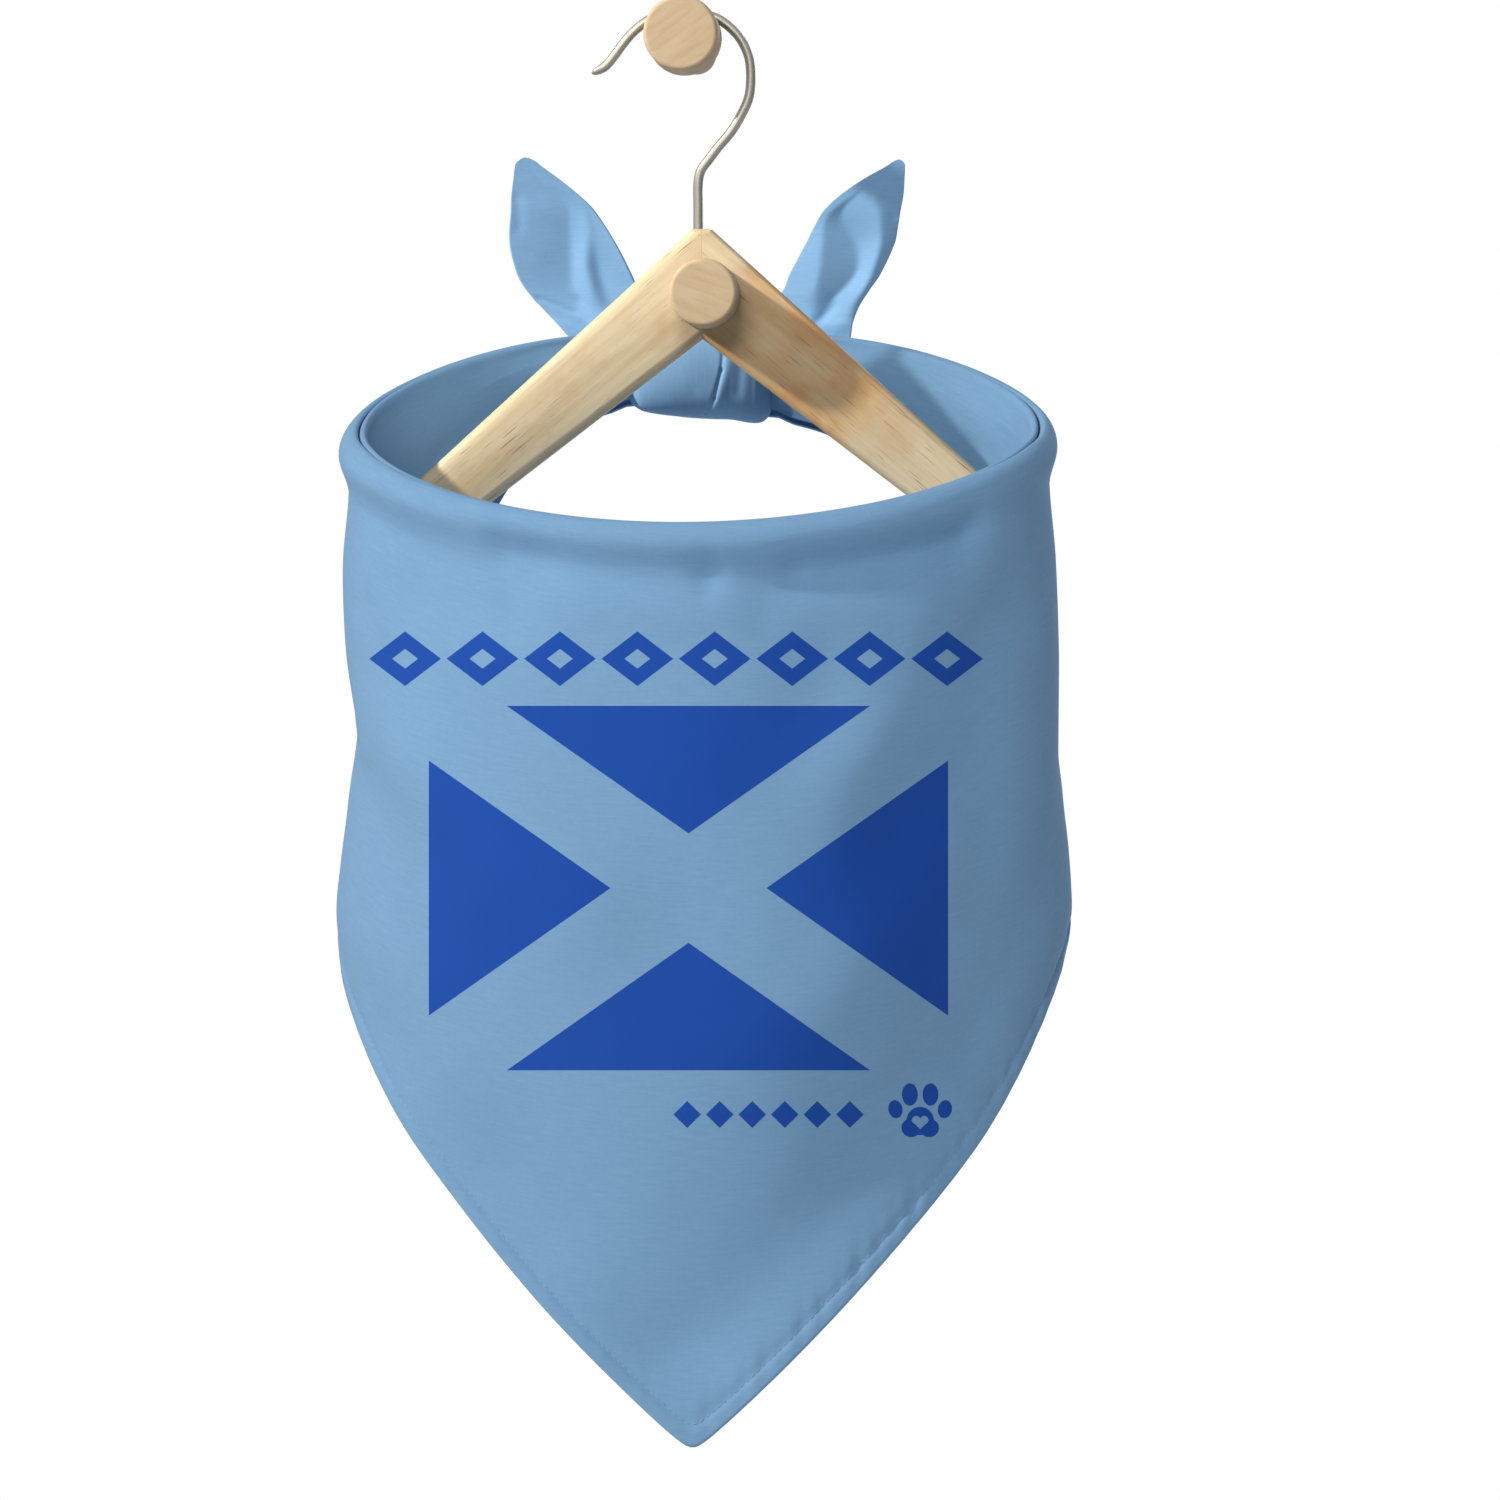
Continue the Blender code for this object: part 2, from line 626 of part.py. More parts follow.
def build_shank_cutter(collection):
    length = SHANK_DEPTH_IN_WOOD * 2
    shank_x = HANGER_X + HOOK_ROUTE[0][0] * MM
    bpy.ops.mesh.primitive_cylinder_add(
        vertices=SHANK_HOLE_SIDES, radius=WIRE_RADIUS + GAP, depth=length, location=(shank_x, HANGER_Y, APEX_TOP_Z)
    )
    cutter = bpy.context.active_object
    cutter.name = "shank_hole"
    for owner in cutter.users_collection:
        owner.objects.unlink(cutter)
    collection.objects.link(cutter)
    cutter.hide_render = True
    cutter.display_type = "WIRE"
    return cutter


def build_arm(name, side, cutter, collection):
    """A flat bar with chamfered edges, drilled at the mitre for the hook's shank."""
    mesh = bmesh.new()
    outline = [mesh.verts.new((p.x, -ARM_THICKNESS / 2, p.y)) for p in arm_outline(side)]
    front = mesh.faces.new(outline)
    moved = bmesh.ops.extrude_face_region(mesh, geom=[front])["geom"]
    verts = [part for part in moved if isinstance(part, bmesh.types.BMVert)]
    bmesh.ops.translate(mesh, verts=verts, vec=(0.0, ARM_THICKNESS, 0.0))
    bmesh.ops.recalc_face_normals(mesh, faces=mesh.faces)
    data = bpy.data.meshes.new(name)
    mesh.to_mesh(data)
    mesh.free()
    obj = link(bpy.data.objects.new(name, data), collection, "wood")
    obj.location = (HANGER_X, HANGER_Y, APEX_TOP_Z)
    chamfer = obj.modifiers.new("chamfer", "BEVEL")
    chamfer.width = ARM_CHAMFER
    chamfer.segments = 2
    chamfer.limit_method = "ANGLE"
    chamfer.angle_limit = math.radians(60)
    hole = obj.modifiers.new("shank hole", "BOOLEAN")
    hole.operation = "DIFFERENCE"
    hole.object = cutter
    return obj


def turned(name, profile, collection):
    """A turned piece: radius and distance from its back, listed from the front centre to the back centre."""
    mesh = bpy.data.meshes.new(name)
    points = [(radius, 0.0, height) for radius, height in profile]
    mesh.from_pydata(points, [(i, i + 1) for i in range(len(points) - 1)], [])
    obj = link(bpy.data.objects.new(name, mesh), collection, "wood")
    screw = obj.modifiers.new("turn", "SCREW")
    screw.axis = "Z"
    screw.steps = TURNED_SIDES
    screw.render_steps = TURNED_SIDES
    screw.use_merge_vertices = True
    screw.merge_threshold = 0.05 * MM
    obj.rotation_euler = (math.pi / 2, 0.0, 0.0)
    return obj


def build_wall_peg(collection):
    front = PEG_SHAFT_LENGTH + PEG_HEAD_LENGTH
    profile = [
        (0.0, front),
        (PEG_HEAD_RADIUS - PEG_EDGE_ROUNDING, front),
        (PEG_HEAD_RADIUS - 0.3 * PEG_EDGE_ROUNDING, front - 0.3 * PEG_EDGE_ROUNDING),
        (PEG_HEAD_RADIUS, front - PEG_EDGE_ROUNDING),
        (PEG_HEAD_RADIUS, PEG_SHAFT_LENGTH),
        (PEG_SHAFT_RADIUS, PEG_SHAFT_LENGTH),
        (PEG_SHAFT_RADIUS, 0.0),
        (0.0, 0.0),
    ]
    return turned("wall_peg", profile, collection)


def build_apex_dowel(collection):
    edge = PEG_EDGE_ROUNDING
    profile = [
        (0.0, APEX_DOWEL_LENGTH),
        (APEX_DOWEL_RADIUS - edge, APEX_DOWEL_LENGTH),
        (APEX_DOWEL_RADIUS - 0.3 * edge, APEX_DOWEL_LENGTH - 0.3 * edge),
        (APEX_DOWEL_RADIUS, APEX_DOWEL_LENGTH - edge),
        (APEX_DOWEL_RADIUS, 0.0),
        (0.0, 0.0),
    ]
    obj = turned("apex_dowel", profile, collection)
    obj.location = (
        HANGER_X + APEX_DOWEL_X,
        HANGER_Y - ARM_THICKNESS / 2 - GAP,
        APEX_TOP_Z - APEX_DOWEL_DROP,
    )
    return obj


def smooth_route(points, count):
    """Evenly spread places on a smooth curve through the route's own points."""
    lengths = [0.0]
    for a, b in zip(points, points[1:]):
        lengths.append(lengths[-1] + math.dist(a, b))
    rows = [(length, *point) for length, point in zip(lengths, points)]
    for i in range(count):
        at = lengths[-1] * i / (count - 1)
        yield smooth_between(rows, 1, at), smooth_between(rows, 2, at)


def build_hook(collection):
    """Steel wire from inside the apex, over the peg and down to its free end."""
    foot = (HOOK_ROUTE[0][0], (GAP - SHANK_DEPTH_IN_WOOD) / MM)
    route = [foot, *HOOK_ROUTE]
    curve = bpy.data.curves.new("hook", "CURVE")
    curve.dimensions = "3D"
    curve.bevel_depth = WIRE_RADIUS
    curve.bevel_resolution = 2
    curve.use_fill_caps = True
    spline = curve.splines.new("POLY")
    spline.points.add(HOOK_POINTS - 1)
    for point, (x, z) in zip(spline.points, smooth_route(route, HOOK_POINTS)):
        point.co = (HANGER_X + x * MM, HANGER_Y, APEX_TOP_Z + z * MM, 1.0)
    return link(bpy.data.objects.new("hook", curve), collection, "steel")


def main():
    clear_scene()
    parts = new_collection("dog_bandana")
    cutters = new_collection("cutters")
    build_wall_peg(parts)
    build_hook(parts)
    shank_hole = build_shank_cutter(cutters)
    build_arm("hanger_left_arm", -1, shank_hole, parts)
    build_arm("hanger_right_arm", 1, shank_hole, parts)
    build_apex_dowel(parts)
    build_drape(parts)
    build_turn_in(parts)
    build_knot(parts)
    build_ear("left_tie_end", LEFT_EAR, 1, parts)
    build_ear("right_tie_end", RIGHT_EAR, -1, parts)


main()
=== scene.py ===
"""Looks of a light blue dog bandana that is tied behind and held open on a small wooden hanger on a wall peg.

Metres, +Z up, +X to the right as seen from the front, +Y towards the wall. The origin is the centre of the
peg's back face. The cloth follows the same loop, folds and hem as its solids, drawn finer, thinner and
with its print, weave and stitches. Places on the cloth are "across", the distance along the loop from the
front centre (right is +), and "drop", the distance below the crest of the neck edge. Tables are in
millimetres, and every other size is in metres.
"""

import logging
import math
from dataclasses import dataclass, field
from enum import Enum
from typing import Any, Callable, ClassVar, NamedTuple, Sequence

import bmesh
import bpy
import numpy as np
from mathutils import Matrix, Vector


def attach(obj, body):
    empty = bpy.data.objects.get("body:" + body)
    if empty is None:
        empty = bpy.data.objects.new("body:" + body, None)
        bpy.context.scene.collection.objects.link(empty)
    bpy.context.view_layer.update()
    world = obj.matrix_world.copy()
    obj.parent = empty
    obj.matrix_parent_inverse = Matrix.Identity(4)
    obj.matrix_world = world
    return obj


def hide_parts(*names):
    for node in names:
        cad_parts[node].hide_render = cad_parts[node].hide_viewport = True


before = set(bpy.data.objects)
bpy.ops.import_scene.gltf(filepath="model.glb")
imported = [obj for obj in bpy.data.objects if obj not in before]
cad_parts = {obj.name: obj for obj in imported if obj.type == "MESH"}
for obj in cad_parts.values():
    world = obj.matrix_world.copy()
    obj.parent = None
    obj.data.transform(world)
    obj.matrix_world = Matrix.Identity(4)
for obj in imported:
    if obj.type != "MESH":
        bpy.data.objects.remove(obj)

logging.basicConfig(level=logging.INFO, format="%(message)s")
LOG = logging.getLogger("bandana")

MM = 0.001
BODY = "root"

Array = np.ndarray
Material = bpy.types.Material
Object = bpy.types.Object
Pair = tuple[float, float]
Place = tuple[float, float, float]
Socket = bpy.types.NodeSocket


class Slot(Enum):
    """The record's material slots."""

    CLOTH = "cloth"
    HANGER_WOOD = "hanger_wood"
    PEG_WOOD = "peg_wood"
    HOOK_STEEL = "hook_steel"


class Side(Enum):
    """Left or right as seen from the front."""

    LEFT = -1
    RIGHT = 1


class Fold(NamedTuple):
    """A soft ridge (height > 0) or trough (height < 0) along a line on a sheet, in millimetres."""

    name: str
    across_1: float
    drop_1: float
    across_2: float
    drop_2: float
    width: float
    height: float


class LozengeRow(NamedTuple):
    """A row of printed lozenges: its middle, spacing and sizes in millimetres, and the share left hollow."""

    x: float
    z: float
    pitch: float
    half_width: float
    half_height: float
    count: int
    hollow: float


# ---------------------------------------------------------------------------------------------- helpers


def linear(code: str) -> tuple[float, float, float, float]:
    """Turns an sRGB hex colour, such as "8FB4DC", to linear RGBA with an alpha of 1."""
    shares = [int(code[i : i + 2], 16) / 255 for i in (0, 2, 4)]
    return (*(s / 12.92 if s <= 0.04045 else ((s + 0.055) / 1.055) ** 2.4 for s in shares), 1.0)


def smooth_between(rows: Sequence[Sequence[float]], column: int, at: Any) -> Array:
    """Reads a table's column on one smooth curve through its rows.

    Args:
        rows: The table, rising in its first column.
        column: Which column to read.
        at: Places in the first column.

    Returns:
        The column's value at each place.
    """
    places, values = (np.array([row[k] for row in rows], float) for k in (0, column))
    at = np.clip(np.asarray(at, float), places[0], places[-1])
    last = len(places) - 1
    i = np.clip(np.searchsorted(places, at, side="right") - 1, 0, last - 1)
    span = places[i + 1] - places[i]
    t = (at - places[i]) / span
    low, high = np.maximum(i - 1, 0), np.minimum(i + 2, last)
    slope_1 = (values[i + 1] - values[low]) / (places[i + 1] - places[low]) * span
    slope_2 = (values[high] - values[i]) / (places[high] - places[i]) * span
    square, cube = t * t, t * t * t
    ends = (2 * cube - 3 * square + 1) * values[i] + (3 * square - 2 * cube) * values[i + 1]
    return ends + (cube - 2 * square + t) * slope_1 + (cube - square) * slope_2


def lengths_along(points: Array) -> Array:
    """Distance of each point of a line from its start."""
    return np.concatenate([[0.0], np.cumsum(np.linalg.norm(np.diff(points, axis=0), axis=1))])


def curve_through(rows: Sequence[Pair], count: int) -> Array:
    """Points evenly spread on a smooth curve through a few 2D points.

    Args:
        rows: The points that the curve passes through.
        count: How many points to return.

    Returns:
        An array of count rows.
    """
    lengths = lengths_along(np.array(rows, float))
    table = np.column_stack([lengths, rows])
    at = np.linspace(0.0, lengths[-1], count)
    return np.column_stack([smooth_between(table, 1, at), smooth_between(table, 2, at)])


def ease(value: Any) -> Array:
    """Smooth step from 0 to 1."""
    value = np.clip(value, 0.0, 1.0)
    return value * value * (3 - 2 * value)


def unit(vectors: Array) -> Array:
    """Rows of vectors, each at a length of 1."""
    return vectors / np.linalg.norm(vectors, axis=1)[:, None]


def folds_at(folds: Sequence[Fold], across: Array, drop: Array) -> Array:
    """Sums the folds at places on a sheet.

    Args:
        folds: The ridges and troughs.
        across: First coordinate of each place.
        drop: Second coordinate of each place.

    Returns:
        The height at each place.
    """
    total = np.zeros(np.broadcast(across, drop).shape)
    for fold in folds:
        run_x = (fold.across_2 - fold.across_1) * MM
        run_y = (fold.drop_2 - fold.drop_1) * MM
        dx, dy = across - fold.across_1 * MM, drop - fold.drop_1 * MM
        share = np.clip((dx * run_x + dy * run_y) / (run_x**2 + run_y**2), 0.0, 1.0)
        square = ((dx - run_x * share) ** 2 + (dy - run_y * share) ** 2) / (fold.width * MM) ** 2
        total += fold.height * MM * np.exp(-square)
    return total


def link(name: str, data: bpy.types.ID | None) -> Object:
    """Puts a new object into the scene.

    Args:
        name: Its name.
        data: Its mesh, curve, light or camera.

    Returns:
        The object.
    """
    obj = bpy.data.objects.new(name, data)
    bpy.context.scene.collection.objects.link(obj)
    return obj


def select_only(obj: Object) -> None:
    """Makes obj the one selected and active object."""
    bpy.ops.object.select_all(action="DESELECT")
    obj.select_set(True)
    bpy.context.view_layer.objects.active = obj


def added(name: str) -> Object:
    """Names the primitive that was just added, and puts its place and size into its mesh.

    Args:
        name: The name of the object and its mesh.

    Returns:
        The object.
    """
    obj = bpy.context.active_object
    obj.name = obj.data.name = name
    bpy.ops.object.transform_apply(location=True, rotation=True, scale=True)
    return obj


def grid_object(name: str, points: Array, uv_maps: dict[str, Array], flip: bool = False) -> Object:
    """Makes an open sheet from a grid of points.

    Args:
        name: The object's name.
        points: Columns x rows x 3.
        uv_maps: For each map's name, columns x rows x 2.
        flip: Turns the faces round.

    Returns:
        The new object, linked to the scene.
    """
    columns, rows = points.shape[:2]
    index = np.arange(columns * rows).reshape(columns, rows)
    corners = np.stack([index[:-1, :-1], index[:-1, 1:], index[1:, 1:], index[1:, :-1]], axis=-1)
    corners = corners.reshape(-1, 4)
    if flip:
        corners = corners[:, ::-1]
    mesh = bpy.data.meshes.new(name)
    mesh.from_pydata(points.reshape(-1, 3).tolist(), [], corners.tolist())
    for map_name, places in uv_maps.items():
        layer = mesh.uv_layers.new(name=map_name)
        layer.data.foreach_set("uv", places.reshape(-1, 2)[corners.ravel()].astype(np.float32).ravel())
    mesh.shade_smooth()
    return link(name, mesh)


def thicken(obj: Object, thickness: float, inside_slot: int = 0) -> None:
    """Gives a sheet its wall, inwards from the grid, and applies it.

    Args:
        obj: The open sheet.
        thickness: The wall.
        inside_slot: How many material slots further the inner face and the edge take their finish.
    """
    wall = obj.modifiers.new("wall", "SOLIDIFY")
    wall.thickness = thickness
    wall.offset = -1.0
    wall.material_offset = wall.material_offset_rim = inside_slot
    select_only(obj)
    bpy.ops.object.modifier_apply(modifier=wall.name)


def dress(obj: Object, slot: Slot, node: str | None, finish: Material | None) -> Object:
    """Gives a piece its finish and body, and hides the solid that it stands for.

    Args:
        obj: The piece.
        slot: The record's slot for the piece. Not used.
        node: The solid that it replaces, if any.
        finish: Its one material, or None where it already has its own.

    Returns:
        The piece.
    """
    if finish is not None:
        obj.data.materials.clear()
        obj.data.materials.append(finish)
    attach(obj, BODY)
    if node is not None:
        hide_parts(node)
    LOG.info("%s: %d triangles", obj.name, sum(len(p.vertices) - 2 for p in obj.data.polygons))
    return obj


# --------------------------------------------------------------------------------------------- finishes


class Nodes:
    """The node tree of one material or world, built up from an empty one."""

    def __init__(self, owner: Material | bpy.types.World) -> None:
        """Starts the owner's tree empty."""
        owner.use_nodes = True
        self.tree = owner.node_tree
        self.tree.nodes.clear()

    def add(self, kind: str, inputs: dict[int | str, Any], output: int | str = 0, **settings: Any) -> Any:
        """Adds one node with its settings and links.

        Args:
            kind: The node's type name, after "ShaderNode".
            inputs: For each input's name or number, a socket to link or a value to set.
            output: The output to return, by name or number.
            **settings: Attributes of the node itself.

        Returns:
            That output's socket, or None where the node has no outputs.
        """
        node = self.tree.nodes.new("ShaderNode" + kind)
        for name, value in settings.items():
            setattr(node, name, value)
        for key, value in inputs.items():
            if isinstance(value, Socket):
                self.tree.links.new(value, node.inputs[key])
            else:
                node.inputs[key].default_value = value
        return node.outputs[output] if len(node.outputs) else None

    def join(self, parts: Sequence[Socket], operation: str) -> Socket:
        """Joins several values by one operation of two, such as MAXIMUM for masks put side by side.

        Args:
            parts: The values.
            operation: The Math node's operation.

        Returns:
            The joined value.
        """
        joined = parts[0]
        for part in parts[1:]:
            joined = self.add("Math", {0: joined, 1: part}, operation=operation)
        return joined

    def shift(self, tone: Socket, *stops: tuple[float, str]) -> Socket:
        """Sets a colour ramp's stops.

        Args:
            tone: The ramp's output.
            *stops: The place and hex colour of each stop, rising.

        Returns:
            The same output.
        """
        marks = tone.node.color_ramp.elements
        for mark, (place, colour) in zip((marks[0], marks[1]), (stops[0], stops[-1])):
            mark.position, mark.color = place, linear(colour)
        for place, colour in stops[1:-1]:
            marks.new(place).color = linear(colour)
        return tone

    def shade(self, inputs: dict[int | str, Any]) -> None:
        """Ends the tree with a Principled shader that has these inputs."""
        self.add("OutputMaterial", {"Surface": self.add("BsdfPrincipled", inputs)})


@dataclass(frozen=True)
class Print:
    """Blue print of the front panel, placed on a plane square to the photo's view.

    The flag is four triangles that leave a diagonal cross bare. Two rows of plain lozenges stand where the
    printed words are left out, and a paw with a heart stands at the lower right.
    """

    flag: Pair = (-20.9 * MM, -46.9 * MM)
    half_width: float = 88.2 * MM
    half_height: float = 61.9 * MM
    cross_half: float = 15.2 * MM
    paw: Pair = (57.8 * MM, -124.1 * MM)

    ROWS: ClassVar = (
        LozengeRow(-25.1, 31, 26.3, 12.2, 9.3, 8, 0.36),
        LozengeRow(6.3, -123.8, 11.05, 4.7, 4.6, 6, 0.0),
    )
    # Ellipses of the paw's right half: middle right and up, half width, half height, and turn in radians.
    TOES_AND_PAD: ClassVar = (
        (3.5, 7.1, 2.7, 3.8, 0.0), (8.4, 2.1, 2.4, 3.1, -0.2), (0.0, -1.9, 4.7, 4.8, 0.0),
        (3.1, -4.3, 3.3, 3.1, 0.2),
    )
    HEART_LOBE: ClassVar = (1.35, -1.6, 1.4, 1.4, 0.0)

    def mask(self, nodes: Nodes) -> Socket:
        """Adds the whole print's mask, which is 1 on the print and 0 beside it."""
        place = nodes.add("UVMap", {}, uv_map="print")
        rows = [self.lozenges(nodes, place, row) for row in self.ROWS]
        return nodes.join([self.triangles(nodes, place), *rows, self.paw_mark(nodes, place)], "MAXIMUM")

    def local(self, nodes: Nodes, place: Socket, centre: Pair) -> Socket:
        """The place measured from a motif's centre."""
        return nodes.add("VectorMath", {0: place, 1: (-centre[0], -centre[1], 0.0)}, operation="ADD")

    def inside(self, nodes: Nodes, place: Socket, lines: Sequence[Place]) -> Socket:
        """Mask of the convex shape where a*x + b*z + c > 0 for each line (a, b, c).

        Args:
            nodes: The cloth's node tree.
            place: The place on the print's plane.
            lines: The shape's lines.

        Returns:
            The mask.
        """
        values = []
        for a, b, c in lines:
            dot = nodes.add("VectorMath", {0: place, 1: (a, b, 0.0)}, "Value", operation="DOT_PRODUCT")
            values.append(nodes.add("Math", {0: dot, 1: c}, operation="ADD"))
        return nodes.add("Math", {0: nodes.join(values, "MINIMUM"), 1: 0.0}, operation="GREATER_THAN")

    def oval(self, nodes: Nodes, place: Socket, row: Sequence[float]) -> Socket:
        """Mask of an ellipse that a row of the paw's tables gives.

        Args:
            nodes: The cloth's node tree.
            place: The place on the print's plane.
            row: The ellipse's row.

        Returns:
            The mask.
        """
        x, z, half_x, half_z = (size * MM for size in row[:4])
        where = {"Location": (x, z, 0.0), "Rotation": (0.0, 0.0, row[4]), "Scale": (half_x, half_z, 1.0)}
        moved = nodes.add("Mapping", {"Vector": place, **where}, vector_type="TEXTURE")
        away = nodes.add("VectorMath", {0: moved}, "Value", operation="LENGTH")
        return nodes.add("Math", {0: away, 1: 1.0}, operation="LESS_THAN")

    def triangles(self, nodes: Nodes, place: Socket) -> Socket:
        """Four triangles round a diagonal cross, as two shapes on the folded quarter.

        Args:
            nodes: The cloth's node tree.
            place: The place on the print's plane.

        Returns:
            The flag's mask.
        """
        quarter = nodes.add("VectorMath", {0: self.local(nodes, place, self.flag)}, operation="ABSOLUTE")
        length = math.hypot(self.half_width, self.half_height)
        x, z = self.half_height / length, self.half_width / length
        upper = self.inside(nodes, quarter, ((0.0, -1.0, self.half_height), (-x, z, -self.cross_half)))
        sides = self.inside(nodes, quarter, ((-1.0, 0.0, self.half_width), (x, -z, -self.cross_half)))
        return nodes.join((upper, sides), "MAXIMUM")

    def lozenges(self, nodes: Nodes, place: Socket, row: LozengeRow) -> Socket:
        """A row of lozenges, with a smaller lozenge left bare in each where its hollow is above 0.

        Args:
            nodes: The cloth's node tree.
            place: The place on the print's plane.
            row: The row's sizes.

        Returns:
            The row's mask.
        """
        x, z, pitch = row.x * MM, row.z * MM, row.pitch * MM
        local = self.local(nodes, place, (x + (0.5 - row.count % 2 * 0.5) * pitch, z))
        right, up = (nodes.add("SeparateXYZ", {0: local}, axis) for axis in (0, 1))
        near = nodes.add("Math", {0: right, 1: pitch / 2}, operation="PINGPONG")
        high = nodes.add("Math", {0: up}, operation="ABSOLUTE")
        sizes = ((near, row.half_width * MM), (high, row.half_height * MM))
        shares = [nodes.add("Math", {0: away, 1: half}, operation="DIVIDE") for away, half in sizes]
        share = nodes.join(shares, "ADD")
        masks = [nodes.add("Math", {0: share, 1: 1.0}, operation="LESS_THAN")]
        if row.hollow > 0:
            masks.append(nodes.add("Math", {0: share, 1: row.hollow}, operation="GREATER_THAN"))
        span = nodes.add("VectorMath", {0: self.local(nodes, place, (x, z))}, operation="ABSOLUTE")
        masks.append(self.inside(nodes, span, ((-1.0, 0.0, pitch * row.count / 2),)))
        return nodes.join(masks, "MULTIPLY")

    def paw_mark(self, nodes: Nodes, place: Socket) -> Socket:
        """A paw, drawn on one half and folded over: two toes, and a pad with a heart left bare in it.

        Args:
            nodes: The cloth's node tree.
            place: The place on the print's plane.

        Returns:
            The paw's mask.
        """
        local = self.local(nodes, place, self.paw)
        half = nodes.add("VectorMath", {0: local}, operation="ABSOLUTE")
        half = nodes.add("VectorMath", {0: half, 1: (1.0, 0.0, 0.0)}, operation="MULTIPLY")
        up = nodes.add("VectorMath", {0: local, 1: (0.0, 1.0, 0.0)}, operation="MULTIPLY")
        spot = nodes.add("VectorMath", {0: half, 1: up}, operation="ADD")
        filled = nodes.join([self.oval(nodes, spot, row) for row in self.TOES_AND_PAD], "MAXIMUM")
        point = self.inside(nodes, spot, ((-0.72, 0.695, 3.3 * MM), (0.0, -1.0, -1.6 * MM)))
        cut = nodes.join((self.oval(nodes, spot, self.HEART_LOBE), point), "MAXIMUM")
        return nodes.add("Math", {0: filled, 1: cut}, operation="SUBTRACT", use_clamp=True)


@dataclass(frozen=True)
class WovenCotton:
    """Fine plain-woven cotton, dyed light blue, brushed so softly that its threads only just show.

    The eye gets a matt, slightly napped surface with faint thicker threads across it and a soft sheen where
    it turns away. The threads are drawn 0.8 mm apart, about twice as coarse as real ones, so that they show.
    """

    colour: str = "7AA6D0"
    thick_thread: str = "7FABD4"
    shadow_thread: str = "75A1CC"
    print_ink: str = "174DAE"
    sheen: str = "C9DDF2"
    thread_pitch: float = 0.8 * MM
    slub_length: float = 9.0 * MM
    slub_width: float = 0.6 * MM
    nap_size: float = 1.6 * MM
    printed_half: float = 155 * MM

    def make(self, name: str, printed: Print | None = None) -> Material:
        """Makes the cotton, with or without the print.

        Args:
            name: The material's name.
            printed: The print on it, if any. It stays on the front half of the loop.

        Returns:
            The material.
        """
        material = bpy.data.materials.new(name)
        nodes = Nodes(material)
        place = nodes.add("UVMap", {}, uv_map="weave")
        scale = (1 / self.slub_length, 1 / self.slub_width, 1.0)
        slub = {"Vector": nodes.add("Mapping", {"Vector": place, "Scale": scale}), "Scale": 1.0}
        slub = nodes.add("TexNoise", {**slub, "Detail": 2.0, "Roughness": 0.5})
        nap = {"Vector": place, "Scale": 1 / self.nap_size, "Detail": 3.0, "Roughness": 0.6}
        nap = nodes.add("TexNoise", nap)
        mixed = nodes.add("Mix", {"Factor": 0.35, "A": slub, "B": nap})
        stops = (0.3, self.shadow_thread), (0.5, self.colour), (0.7, self.thick_thread)
        colour = nodes.shift(nodes.add("ValToRGB", {0: mixed}), *stops)
        if printed is not None:
            away = nodes.add("Math", {0: nodes.add("SeparateXYZ", {0: place})}, operation="ABSOLUTE")
            front = nodes.add("Math", {0: away, 1: self.printed_half}, operation="LESS_THAN")
            inked = nodes.join((printed.mask(nodes), front), "MULTIPLY")
            ink = {"Factor": inked, "A": colour, "B": linear(self.print_ink)}
            colour = nodes.add("Mix", ink, "Result", data_type="RGBA")
        relief = nodes.add("Mix", {"Factor": 0.75, "A": self.threads(nodes, place), "B": nap})
        relief = nodes.add("Mix", {"Factor": 0.15, "A": relief, "B": slub})
        bump = nodes.add("Bump", {"Strength": 0.45, "Distance": 0.14 * MM, "Height": relief})
        nodes.shade({
            "Base Color": colour, "Roughness": 0.9, "Normal": bump, "Specular IOR Level": 0.25,
            "Sheen Weight": 0.1, "Sheen Roughness": 0.45, "Sheen Tint": linear(self.sheen),
        })
        return material

    def threads(self, nodes: Nodes, place: Socket) -> Socket:
        """Height of warp and weft, as two waves that cross.

        Args:
            nodes: The cloth's node tree.
            place: The place along and across the weave.

        Returns:
            The height, from 0 to 1.
        """
        waves = []
        for axis in (0, 1):
            turns = {0: nodes.add("SeparateXYZ", {0: place}, axis), 1: 2 * math.pi / self.thread_pitch}
            turned = nodes.add("Math", turns, operation="MULTIPLY")
            waves.append(nodes.add("Math", {0: turned}, operation="SINE"))
        crossed = nodes.join(waves, "MULTIPLY")
        return nodes.add("Math", {0: crossed, 1: 0.5, 2: 0.5}, operation="MULTIPLY_ADD")


@dataclass(frozen=True)
class SewingThread:
    """Spun polyester thread in the cloth's own blue: matt, with a twist too fine to draw but as a bump."""

    light: str = "8DB5DC"
    dark: str = "7EA8D3"
    twist: float = 0.5 * MM

    def make(self) -> Material:
        """Makes the thread."""
        material = bpy.data.materials.new("spun_thread")
        nodes = Nodes(material)
        place = nodes.add("TexCoord", {}, "Object")
        twist = nodes.add("TexNoise", {"Vector": place, "Scale": 1 / self.twist, "Detail": 1.0})
        tone = nodes.shift(nodes.add("ValToRGB", {0: twist}), (0.0, self.dark), (1.0, self.light))
        bump = nodes.add("Bump", {"Strength": 0.5, "Distance": 0.08 * MM, "Height": twist})
        nodes.shade({"Base Color": tone, "Roughness": 0.75, "Normal": bump})
        return material


